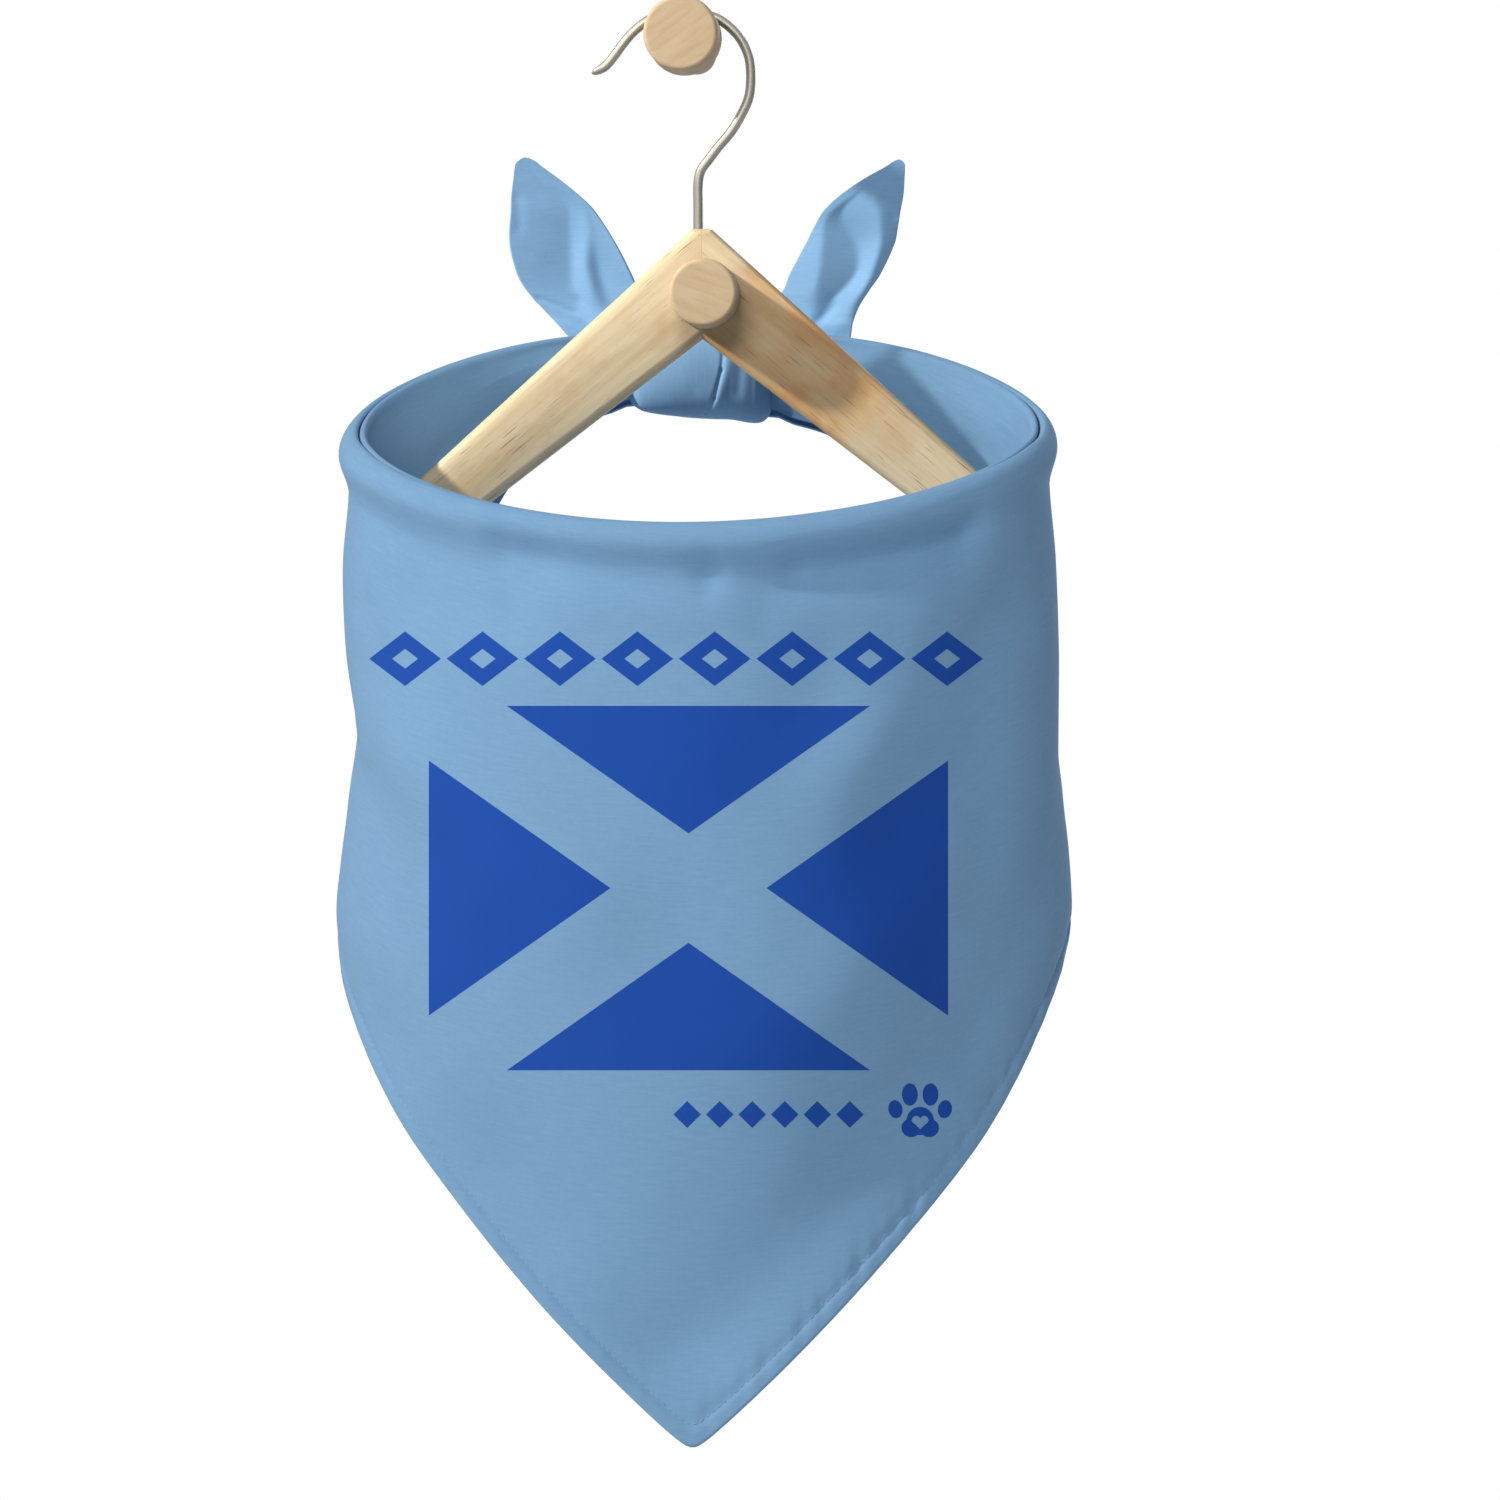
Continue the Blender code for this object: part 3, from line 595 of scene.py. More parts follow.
@dataclass(frozen=True)
class BeechAlongGrain:
    """Planed beech, cut along the grain and left unvarnished.

    The eye gets a pale tan with long soft bands, fine lines and the short dark flecks of beech's rays.
    A browner stretch on each arm is painted shadow: the dowel's shadow on the right arm, and the cloth rim's
    shadow on the left arm's lower end.
    """

    light: str = "CBBFA2"
    dark: str = "B7A582"
    blush: str = "B39370"
    # Tint multiplied over the browner stretch, which is painted shadow.
    painted_shadow_tint: str = "F4D3AE"
    fleck: str = "6E4C2A"
    band_length: float = 110.0 * MM
    band_width: float = 8.0 * MM
    blush_size: float = 16.0 * MM
    fleck_length: float = 15.0 * MM
    fleck_width: float = 0.5 * MM
    painted_shadow_edge: float = 7.0 * MM

    def make(self, name: str, centre: Place, turn: Place, painted_shadow_span: Pair) -> Material:
        """Makes the wood with its grain laid along a piece.

        Args:
            name: The material's name.
            centre: A point on the piece, where the pattern starts.
            turn: Rotation from the world's X to the grain, in radians.
            painted_shadow_span: Where the painted shadow starts and ends, along the grain from the centre.

        Returns:
            The material.
        """
        material = bpy.data.materials.new(name)
        nodes = Nodes(material)
        laid = {"Vector": nodes.add("TexCoord", {}, "Object"), "Location": centre, "Rotation": turn}
        along = nodes.add("Mapping", laid, vector_type="TEXTURE")
        noises = []
        for length, width, detail in (
            (self.band_length, self.band_width, 3.0),
            (self.band_length / 3, self.band_width / 6, 2.0),
            (self.fleck_length, self.fleck_width, 1.0),
        ):
            scaled = nodes.add("Mapping", {"Vector": along, "Scale": (1 / length, 1 / width, 1 / width)})
            grain = {"Vector": scaled, "Scale": 1.0, "Detail": detail, "Roughness": 0.55, "Distortion": 0.3}
            noises.append(nodes.add("TexNoise", grain))
        bands, lines, rays = noises
        mixed = nodes.add("Mix", {"Factor": 0.3, "A": bands, "B": lines})
        colour = nodes.shift(nodes.add("ValToRGB", {0: mixed}), (0.32, self.dark), (0.62, self.light))
        cloud = nodes.add("TexNoise", {"Vector": along, "Scale": 1 / self.blush_size, "Detail": 3.0})
        blush = nodes.add("MapRange", {0: cloud, 1: 0.5, 2: 0.74, 3: 0.0, 4: 0.6})
        # The browner stretch along the grain is painted shadow, made uneven by the cloud noise.
        reach = nodes.add("SeparateXYZ", {0: along})
        stretch = []
        for place, before, after in ((painted_shadow_span[0], 0.0, 1.0), (painted_shadow_span[1], 1.0, 0.0)):
            step = {0: reach, 1: place - self.painted_shadow_edge, 2: place + self.painted_shadow_edge, 3: before, 4: after}
            stretch.append(nodes.add("MapRange", step, interpolation_type="SMOOTHSTEP"))
        uneven = nodes.add("MapRange", {0: cloud, 1: 0.3, 2: 0.6, 3: 0.55, 4: 0.9})
        painted_shadow_share = nodes.join((*stretch, uneven), "MULTIPLY")
        flecks = nodes.add("MapRange", {0: rays, 1: 0.65, 2: 0.75, 3: 0.0, 4: 0.75})
        for share, code, blend in (
            (blush, self.blush, "MIX"), (painted_shadow_share, self.painted_shadow_tint, "MULTIPLY"), (flecks, self.fleck, "MIX")
        ):
            laid = {"Factor": share, "A": colour, "B": linear(code)}
            colour = nodes.add("Mix", laid, "Result", data_type="RGBA", blend_type=blend)
        relief = nodes.join((lines, flecks), "SUBTRACT")
        bump = nodes.add("Bump", {"Strength": 0.4, "Distance": 0.15 * MM, "Height": relief})
        nodes.shade({"Base Color": colour, "Roughness": 0.55, "Specular IOR Level": 0.35, "Normal": bump})
        return material


@dataclass(frozen=True)
class EndGrainBeech:
    """Turned beech dowel: its sawn and sanded face shows end grain, with growth lines and fine pores."""

    light: str = "B9A68A"
    dark: str = "AF9A7C"
    pore: str = "967A5A"
    ring_width: float = 2.6 * MM
    pore_size: float = 0.5 * MM

    def make(self, name: str, centre: Place, lean: float) -> Material:
        """Makes the end grain.

        Args:
            name: The material's name.
            centre: The middle of the face.
            lean: Angle of the growth lines from the horizontal, in radians.

        Returns:
            The material.
        """
        material = bpy.data.materials.new(name)
        nodes = Nodes(material)
        laid = {"Location": centre, "Rotation": (0.0, lean, 0.0)}
        laid = {"Vector": nodes.add("TexCoord", {}, "Object"), **laid}
        face = nodes.add("Mapping", laid, vector_type="TEXTURE")
        scale = (1 / (9 * self.ring_width), 0.05 / self.ring_width, 1 / self.ring_width)
        stretched = nodes.add("Mapping", {"Vector": face, "Scale": scale})
        rings = nodes.add("TexNoise", {"Vector": stretched, "Scale": 1.0, "Detail": 4.0, "Distortion": 0.4})
        pores = nodes.add("TexNoise", {"Vector": face, "Scale": 1 / self.pore_size, "Detail": 2.0})
        tone = nodes.shift(nodes.add("ValToRGB", {0: rings}), (0.35, self.dark), (0.62, self.light))
        dots = nodes.add("MapRange", {0: pores, 1: 0.6, 2: 0.75, 3: 0.0, 4: 0.35})
        bump = nodes.add("Bump", {"Strength": 0.35, "Distance": 0.1 * MM, "Height": pores})
        dotted = {"Factor": dots, "A": tone, "B": linear(self.pore)}
        colour = nodes.add("Mix", dotted, "Result", data_type="RGBA")
        nodes.shade({"Base Color": colour, "Roughness": 0.62, "Specular IOR Level": 0.3, "Normal": bump})
        return material


@dataclass(frozen=True)
class NickelledWire:
    """Nickel-plated spring steel wire: a warm grey mirror, slightly hazed in patches."""

    colour: str = "A5A195"
    roughness: float = 0.44
    haze_size: float = 9.0 * MM

    def make(self) -> Material:
        """Makes the wire's plating."""
        material = bpy.data.materials.new("nickelled_steel")
        nodes = Nodes(material)
        place = nodes.add("TexCoord", {}, "Object")
        haze = nodes.add("TexNoise", {"Vector": place, "Scale": 1 / self.haze_size, "Detail": 3.0})
        hazed = {0: haze, 1: 0.3, 2: 0.7, 3: self.roughness - 0.05, 4: self.roughness + 0.07}
        polish = nodes.add("MapRange", hazed)
        nodes.shade({"Base Color": linear(self.colour), "Metallic": 1.0, "Roughness": polish})
        return material


# ----------------------------------------------------------------------------------------------- studio


@dataclass
class Studio:
    """Camera, lights, backdrop and floor."""

    target: Vector = field(default_factory=lambda: Vector((24.0, -87.0, -250.3)) * MM)
    azimuth: float = 3.0
    elevation: float = 1.0
    distance: float = 2.4
    width_at_target: float = 525.0 * MM
    sensor: float = 36.0
    print_distance: float = 2.329
    key_direction: Vector = field(default_factory=lambda: Vector((-44.0, -20.0, 30.5)).normalized())
    key_strength: float = 2.0
    accent_strength: float = 3.6
    key_angle: float = 3.5
    front_offset: Vector = field(default_factory=lambda: Vector((-0.2, -1.05, 0.75)))
    front_size: float = 0.5
    front_power: float = 7.1
    behind_offset: Vector = field(default_factory=lambda: Vector((1.1, 1.9, 0.9)))
    behind_size: float = 1.2
    behind_power: float = 16.0
    fill_bright: float = 0.18
    fill_dim: float = 0.05
    mirrored_boost: float = 5.5
    fill_direction: Place = (-0.5, -0.3, 0.81)
    floor_z: float = -0.95
    floor_radius: float = 3.0
    dome_radius: float = 12.0

    def back(self) -> Vector:
        """Direction from the target to the camera."""
        turn, lift = math.radians(self.azimuth), math.radians(self.elevation)
        return Vector((math.sin(turn) * math.cos(lift), -math.cos(turn) * math.cos(lift), math.sin(lift)))

    def print_places(self, points: Array) -> Array:
        """Places of cloth points on the print's plane, which is square to the photo's view.

        Args:
            points: An array whose last axis is X, Y, Z.

        Returns:
            The same array with two columns, right and up from the view's centre.
        """
        back = self.back()
        right = Vector((0.0, 0.0, 1.0)).cross(back).normalized()
        away = points - np.array(self.target + back * self.distance)
        scale = self.print_distance / (-away @ np.array(back))
        return np.stack([away @ np.array(axis) * scale for axis in (right, back.cross(right))], axis=-1)

    def build(self) -> None:
        """Makes the camera, the lights, the backdrop and the floor."""
        self.camera()
        self.world()
        self.sun("key", self.key_strength)
        self.lamp("front", "AREA", self.front_offset, self.front_power, "FFFBF4", size=self.front_size)
        self.lamp("behind", "AREA", self.behind_offset, self.behind_power, "FFFFFF", size=self.behind_size)
        self.backdrop()
        self.floor()

    def camera(self) -> None:
        """Makes the camera at the photo's place."""
        data = bpy.data.cameras.new("camera")
        data.sensor_width = self.sensor
        data.lens = self.sensor * self.distance / self.width_at_target
        camera = link("camera", data)
        camera.location = self.target + self.back() * self.distance
        camera.rotation_euler = (-self.back()).to_track_quat("-Z", "Y").to_euler()
        bpy.context.scene.camera = camera

    def world(self) -> None:
        """Sets a fill light that falls off to the lower right, brighter where metal mirrors it."""
        world = bpy.data.worlds.new("studio")
        nodes = Nodes(world)
        away = nodes.add("TexCoord", {}, "Generated")
        toward = nodes.add("VectorMath", {0: away, 1: self.fill_direction}, "Value", operation="DOT_PRODUCT")
        fill = {0: toward, 1: -0.8, 2: 0.9, 3: self.fill_dim, 4: self.fill_bright}
        fill = nodes.add("MapRange", fill, interpolation_type="SMOOTHSTEP")
        mirrored = nodes.add("LightPath", {}, "Is Glossy Ray")
        boost = nodes.add("MapRange", {0: mirrored, 1: 0.0, 2: 1.0, 3: 1.0, 4: self.mirrored_boost})
        strength = nodes.join((fill, boost), "MULTIPLY")
        light = nodes.add("Background", {"Color": linear("EEF5FF"), "Strength": strength})
        nodes.add("OutputWorld", {"Surface": light})
        bpy.context.scene.world = world
        bpy.context.scene.view_settings.view_transform = "Standard"

    def lamp(
        self, name: str, kind: str, offset: Vector, power: float, colour: str, **settings: float
    ) -> Object:
        """Adds one lamp that faces the cloth.

        Args:
            name: The lamp's name.
            kind: SUN or AREA.
            offset: Its place from the target.
            power: Its power in watts, or for each square metre of a sun's light.
            colour: Its colour as sRGB hex.
            **settings: The lamp's own sizes.

        Returns:
            The lamp.
        """
        data = bpy.data.lights.new(name, kind)
        data.energy = power
        data.color = linear(colour)[:3]
        for key, value in settings.items():
            setattr(data, key, value)
        lamp = link(name, data)
        lamp.location = self.target + offset
        lamp.rotation_euler = (-offset).to_track_quat("-Z", "Y").to_euler()
        return lamp

    def sun(self, name: str, strength: float) -> Object:
        """Adds a lamp far away to the upper left, so small that it throws clear shadows."""
        angle = math.radians(self.key_angle)
        return self.lamp(name, "SUN", self.key_direction, strength, "FFF4E6", angle=angle)

    def accent(self, pieces: Sequence[Object]) -> None:
        """Adds a second light from the key's side that only some pieces take, and all pieces shade.

        Args:
            pieces: The pieces that it lights.
        """
        lit = bpy.data.collections.new("lit_by_the_accent")
        for piece in pieces:
            lit.objects.link(piece)
        self.sun("accent", self.accent_strength).light_linking.receiver_collection = lit

    def backdrop(self) -> None:
        """Adds a white dome far behind everything, which only the camera sees."""
        bpy.ops.object.select_all(action="DESELECT")
        bpy.ops.mesh.primitive_uv_sphere_add(segments=48, ring_count=24, radius=self.dome_radius)
        dome = bpy.context.active_object
        dome.name = "backdrop"
        material = bpy.data.materials.new("white_paper")
        nodes = Nodes(material)
        glow = nodes.add("Emission", {"Color": linear("FFFFFF"), "Strength": 1.0})
        nodes.add("OutputMaterial", {"Surface": glow})
        dome.data.materials.append(material)
        for ray in ("diffuse", "glossy", "transmission", "volume_scatter", "shadow"):
            setattr(dome, f"visible_{ray}", False)

    def floor(self) -> None:
        """Adds a pale floor that fades into the white of the backdrop."""
        bpy.ops.object.select_all(action="DESELECT")
        bpy.ops.mesh.primitive_circle_add(
            vertices=96, radius=self.floor_radius, fill_type="NGON", location=(0.0, 0.0, self.floor_z)
        )
        floor = bpy.context.active_object
        floor.name = "floor"
        material = bpy.data.materials.new("pale_floor")
        nodes = Nodes(material)
        away = nodes.add("VectorMath", {0: nodes.add("TexCoord", {}, "Object")}, "Value", operation="LENGTH")
        span = {0: away, 1: 0.5, 2: self.floor_radius * 0.95, 3: 0.0, 4: 1.0}
        fade = nodes.add("MapRange", span, interpolation_type="SMOOTHSTEP")
        paint = nodes.add("BsdfDiffuse", {"Color": linear("F1F1EF")})
        glow = nodes.add("Emission", {"Color": linear("FFFFFF"), "Strength": 1.0})
        nodes.add("OutputMaterial", {"Surface": nodes.add("MixShader", {0: fade, 1: paint, 2: glow})})
        floor.data.materials.append(material)


# ------------------------------------------------------------------------------------------------ cloth


@dataclass
class ClothLoop:
    """The loop of cloth that every sheet follows: an ellipse in plan, whose neck edge rises to the back."""

    x: float = 6.3 * MM
    y: float = -87.0 * MM
    half_width: float = 123.0 * MM
    half_depth: float = 71.0 * MM
    crest_z: float = -136.6 * MM
    crest_rise: float = 35.6 * MM
    crest_fall: float = 34.9 * MM
    crest_front_lift: float = 2.4 * MM
    crest_back_square: float = 1.1 * MM
    crest_twist: float = 0.5 * MM
    front_drop: float = 316.2 * MM
    edge_slope: float = 0.876
    tip_rounding: float = 3.0 * MM
    tip_sway: float = 1.3 * MM
    tip_setback: float = 9.0 * MM
    corner_across: float = 108.0 * MM
    corner_width: float = 24.0 * MM
    corner_drop: float = 1.6 * MM
    edge_blend: float = 20 * MM
    lean_start: float = 215 * MM
    lean_reach: float = 40 * MM
    band_left_drop: float = -1.2 * MM
    band_right_drop: float = 4.0 * MM
    knot_left: float = 27.0 * MM
    knot_right: float = 21.0 * MM
    end_gap: float = 0.8 * MM
    into_knot: float = 7.0 * MM
    gather_in_reach: float = 10.0 * MM
    gather_in_depth: float = 0.8
    gather_reach: float = 62.0 * MM
    gather_height: float = 1.3 * MM
    gather_count: float = 2.5
    roll_depth: float = 12 * MM
    roll_fade: float = 20 * MM
    full_roll_drop: float = 70 * MM
    full_hem_drop: float = 60 * MM
    steps: int = 1440

    # Axis, the knot's middle on it, and how much of the way the band's ends are drawn in to it.
    GATHER_IN: ClassVar = ((1, -19.0 * MM, 0.45), (2, -115.0 * MM, 0.1))
    # Distance across from the front's middle, and the free edge's drop there.
    EDGE_ROWS: ClassVar = (
        (100, 231.2), (125, 208), (150, 184), (170, 162.5), (190, 131), (210, 95), (228, 62), (245, 43),
        (263, 33.4), (285, 28.4), (295, 27.6),
    )
    # Drop, and how far the left and the right side stand out there.
    SIDE_ROWS: ClassVar = (
        (0, 0.5, 0), (9, 1.5, 0), (22, 0.6, 0), (47, 2.6, 2.5), (75, 1.8, 3.1), (103, 0.5, 3.3),
        (131, 0.4, 4.2), (150, 2.2, 6.2), (168, 4.4, 6.8), (185, 3.4, 4.2), (202, 2.2, 2.2), (260, 1, 1),
        (330, 0, 0),
    )
    FOLDS: ClassVar = (
        Fold("shelf under the roll", -95, 22, 95, 24, 9, -1.2),
        Fold("right shoulder trough", 128, 48, 74, 104, 22, -3.2),
        Fold("right shoulder ridge", 96, 30, 36, 112, 24, 1.6),
        Fold("centre swell", -52, 60, -8, 176, 42, 2.4),
        Fold("right side trough", 62, 116, 52, 178, 20, -2.2),
        Fold("left waist trough", -150, 102, -84, 122, 17, -2.6),
        Fold("left corner swell", -128, 150, -92, 196, 26, 2.6),
        Fold("right corner dip", 132, 150, 114, 172, 15, -2.6),
        Fold("right edge valley", 74, 186, -8, 272, 19, -3.8),
        Fold("right edge ridge", 92, 208, 10, 292, 13, 1.7),
        Fold("left edge valley", -104, 196, -56, 246, 18, -1.6),
        Fold("back left sweep", -196, 50, -250, 34, 13, -2),
        Fold("back right sweep", 196, 56, 252, 36, 13, -2),
    )

    def __post_init__(self) -> None:
        """Measures the ellipse along its own length."""
        self.angles = np.linspace(-math.pi, math.pi, self.steps + 1)
        outline = [self.half_width * np.sin(self.angles), -self.half_depth * np.cos(self.angles)]
        lengths = lengths_along(np.column_stack(outline))
        self.length = float(lengths[-1])
        self.along = lengths - self.length / 2
        self.band_left = -self.length / 2 + self.knot_left + self.end_gap
        self.band_right = self.length / 2 - self.knot_right - self.end_gap

    def crest(self, angle: Array) -> Array:
        """Height of the neck edge's crest.

        Args:
            angle: Angles round the loop, 0 at the front.

        Returns:
            The heights.
        """
        cosine = np.cos(angle)
        lift = self.crest_front_lift * np.sin(1.5 * angle) ** 2 * ease(np.maximum(cosine, 0.0) * 3)
        back = self.crest_z - self.crest_rise * cosine - self.crest_back_square * np.sin(4 * np.abs(angle))
        plain = np.where(cosine < 0, back, self.crest_z - self.crest_fall * cosine + lift)
        return plain + self.crest_twist * np.sin(2 * angle)

    def edge_drop(self, across: Array) -> Array:
        """Drop of the free edge below the crest.

        Args:
            across: Distances along the loop.

        Returns:
            The drops.
        """
        at_knot = np.where(across < 0, self.band_left_drop, self.band_right_drop)
        corner = self.corner_drop * np.exp(-(((across - self.corner_across) / self.corner_width) ** 2))
        away, start = np.abs(across), self.EDGE_ROWS[0][0] * MM
        rounded = np.hypot(away, self.tip_rounding) - self.tip_rounding
        front = self.front_drop - self.edge_slope * rounded + corner
        lean = corner + at_knot * ease((away - self.lean_start) / self.lean_reach)
        back = smooth_between(self.EDGE_ROWS, 1, away / MM) * MM + lean
        blend = ease((away - start) / self.edge_blend)
        return np.where(away < start, front, front * (1 - blend) + back * blend)

    def plan(self, angle: Array, out: Array) -> tuple[Array, Array]:
        """X and Y of places beside the ellipse.

        Args:
            angle: Angles round the loop.
            out: How far outside the ellipse.

        Returns:
            The two coordinates.
        """
        x, y = np.sin(angle), -np.cos(angle)
        normal_x, normal_y = x / self.half_width, y / self.half_depth
        share = out / np.hypot(normal_x, normal_y)
        x, y = self.half_width * x + share * normal_x, self.half_depth * y + share * normal_y
        return self.x + x, self.y + y

    def gathers(self, across: Array, share: Array) -> Array:
        """Pleats that run along the band, deepest where it enters the knot.

        Args:
            across: Distances along the loop.
            share: Shares of the way down to the free edge.

        Returns:
            How far they stand out.
        """
        end = np.where(across < 0, self.band_left, self.band_right)
        near = ease(1 - np.abs(end - across) / self.gather_reach)
        return self.gather_height * near * np.sin(2 * math.pi * self.gather_count * share)

    def place(self, across: Array, drop: Array, out: Array, folds: Sequence[Fold]) -> Array:
        """Points of the cloth.

        Args:
            across: Distance along the loop.
            drop: Distance below the crest.
            out: Distance out of the plain loop.
            folds: Finer folds, added to the loop's own.

        Returns:
            The points, as an array whose last axis is X, Y, Z.
        """
        across, drop, out = np.broadcast_arrays(across, drop, out)
        angle = np.interp(across, self.along, self.angles)
        left, right = (smooth_between(self.SIDE_ROWS, column, drop / MM) * MM for column in (1, 2))
        out = out + ease((drop - self.roll_depth) / self.roll_fade) * folds_at(self.FOLDS, across, drop)
        out = out + folds_at(folds, across, drop)
        out = out + np.where(across < 0, left, right) * np.abs(np.sin(angle)) ** 3
        x, y = self.plan(angle, out + self.gathers(across, drop / self.edge_drop(across)))
        low = (drop / self.front_drop) ** 2
        return np.stack([x + self.tip_sway * low, y + self.tip_setback * low, self.crest(angle) - drop], -1)

    def columns(self, front_step: float, back_step: float, front_half: float = 165 * MM) -> Array:
        """Distances across for a sheet's columns, closer together round the front.

        Args:
            front_step: Spacing within front_half of the centre.
            back_step: Spacing behind that.
            front_half: Where the closer columns end.

        Returns:
            The distances, from the left end of the band to its right end.
        """
        left = np.linspace(self.band_left, -front_half, round((-front_half - self.band_left) / back_step))
        front = np.linspace(-front_half, front_half, round(2 * front_half / front_step))
        right = np.linspace(front_half, self.band_right, round((self.band_right - front_half) / back_step))
        return np.concatenate([left[:-1], front, right[1:]])

    def roll_scale(self, across: Array) -> Array:
        """How far the roll flattens where the band narrows towards the knot."""
        return np.minimum(1.0, self.edge_drop(across) / self.full_roll_drop) ** 0.8

    def hem_share(self, edge: Array) -> Array:
        """How far the hem narrows where the free edge is this far below the crest."""
        return np.minimum(1.0, edge / self.full_hem_drop)

    def meet_knot(self, points: Array) -> Array:
        """Gathers the band's two ends in, so that they run into the knot on every side.

        Args:
            points: Columns x rows x 3, from the left end of the band to the right.

        Returns:
            The same points, changed.
        """
        ends = np.array([self.x - self.knot_left, self.x + self.knot_right])
        away = np.abs(points[..., 0, None] - ends).min(axis=-1)
        behind = points[..., 1] > self.y + self.gather_in_depth * self.half_depth
        gather = ease(1 - away / self.gather_in_reach) * behind
        for axis, middle, share in self.GATHER_IN:
            points[..., axis] += gather * share * (middle - points[..., axis])
        points[0, :, 0] = ends[0] + self.into_knot
        points[-1, :, 0] = ends[1] - self.into_knot
        return points


@dataclass
class Drape:
    """The hanging triangle with its rolled neck edge and its hem, printed on the front."""

    loop: ClothLoop
    studio: Studio
    thickness: float = 1.1 * MM
    hem_width: float = 8.0 * MM
    hem_raise: float = 0.55 * MM
    groove_depth: float = 0.5 * MM
    groove_width: float = 1.7 * MM
    pucker_height: float = 0.4 * MM
    pucker_reach: float = 7.0 * MM
    pucker_calm: float = 0.35
    pucker_start: float = -20 * MM
    pucker_rise: float = 60 * MM
    edge_roundness: float = 1.2 * MM
    seam_gap: float = 0.5 * MM
    seam_start: float = -60 * MM
    seam_rise: float = 140 * MM
    seam_depth: float = 1.2 * MM
    seam_inside: float = -2 * MM
    front_step: float = 1.7 * MM
    back_step: float = 2.6 * MM
    roll_rows: int = 22
    body_rows: int = 96
    hem_rows: int = 14

    # Outwards and down from the crest, over the roll from its inner edge.
    ROLL: ClassVar = (
        (-4.15, 1.7), (-3.9, 0.9), (-3.3, 0.3), (-2.4, 0.05), (-0.9, 0.8), (0.8, 2.8), (1.9, 5.6), (2.1, 8.6),
        (1.3, 12), (0.2, 15.8), (-0.5, 20),
    )
    # The puckers' waves: length over a turn, start in radians and share.
    PUCKERS: ClassVar = ((1.05, 0.0, 1.0), (1.63, 1.0, 0.7), (2.71, 2.0, 0.6))
    FINE_FOLDS: ClassVar = (
        Fold("recess under the roll, left", -117, 22, -56, 18, 11, -2.1),
        Fold("recess under the roll, middle", -64, 15, 4, 18, 8, -2.9),
        Fold("recess under the roll, right", 10, 18.5, 101, 19, 7.5, -2.2),
        Fold("recess, right, deeper", 38, 18.5, 99, 19, 7, -2.5),
        Fold("hollow below the right recess", 30, 28, 92, 27, 13, -2.3),
        Fold("swell below the recess", -96, 36, 70, 44, 12.5, -1.1),
        Fold("left shoulder dimple", -105, 40, -64, 36, 10, -1.7),
        Fold("left waist", -120, 99, -83, 126, 18, 1.5),
        Fold("left side of the belly", -95, 96, -38, 131, 22, 3.9),
        Fold("belly ridge", -91, 114, 9, 182, 30, 3.9),
        Fold("left flank fold", -128, 61, -131, 102, 6, 1.4),
        Fold("swell right of the middle", 6, 86, 32, 163, 27, 2.8),
        Fold("right shoulder hollow", 53, 56, 101, 56, 21, -3.7),
        Fold("drag line off the right shoulder", 96, 70, 17, 148, 17.5, 0.9),
        Fold("right third", 59, 92, 59, 185, 20.5, 3.8),
        Fold("right flank dimple", 106, 99, 106, 150, 14, -2.1),
        Fold("small dent by the right corner", 88, 160, 103, 187, 11, -1.9),
        Fold("spread to the lower right", 37, 215, 52, 157, 26, 3.6),
        Fold("fold inside the right hem", 73, 184, -8, 265, 13.5, 1.5),
        Fold("valley along the right hem", 95, 203, 10, 286, 14, -3.2),
        Fold("lower left drag line", -68, 233, -14, 282, 24, -2.9),
        Fold("dimple above the tip", -5, 285, 9, 300, 10.5, -0.6),
        Fold("pull from the left arm", -122, 30, -136, 70, 8, 0.8),
        Fold("pull from the right arm", 126, 30, 140, 66, 8, 0.8),
        Fold("back left long crease", -262, 20, -206, 44, 5, -1),
        Fold("back left short crease", -252, 10, -218, 22, 4, -0.8),
        Fold("back right long crease", 264, 22, 202, 50, 5, -1),
        Fold("back right short crease", 258, 12, 226, 20, 4, -0.8),
        Fold("left flank drag line", -176, 60, -150, 112, 9, -1),
        Fold("right flank drag line", 178, 56, 156, 116, 9, -1),
    )

    def puckers(self, across: Array, above: Array) -> Array:
        """Small uneven waves that the hem's stitches draw up, deeper on the right side.

        Args:
            across: Distance along the loop.
            above: Distance above the free edge.

        Returns:
            How far they stand out.
        """
        near = np.exp(-(((above - self.hem_width) / self.pucker_reach) ** 2))
        waves = sum(share * np.sin(across / (length * MM) + start) for length, start, share in self.PUCKERS)
        rise = ease((across - self.pucker_start) / self.pucker_rise)
        strength = self.pucker_calm + (1 - self.pucker_calm) * rise
        return self.pucker_height / 2 * near * waves * strength

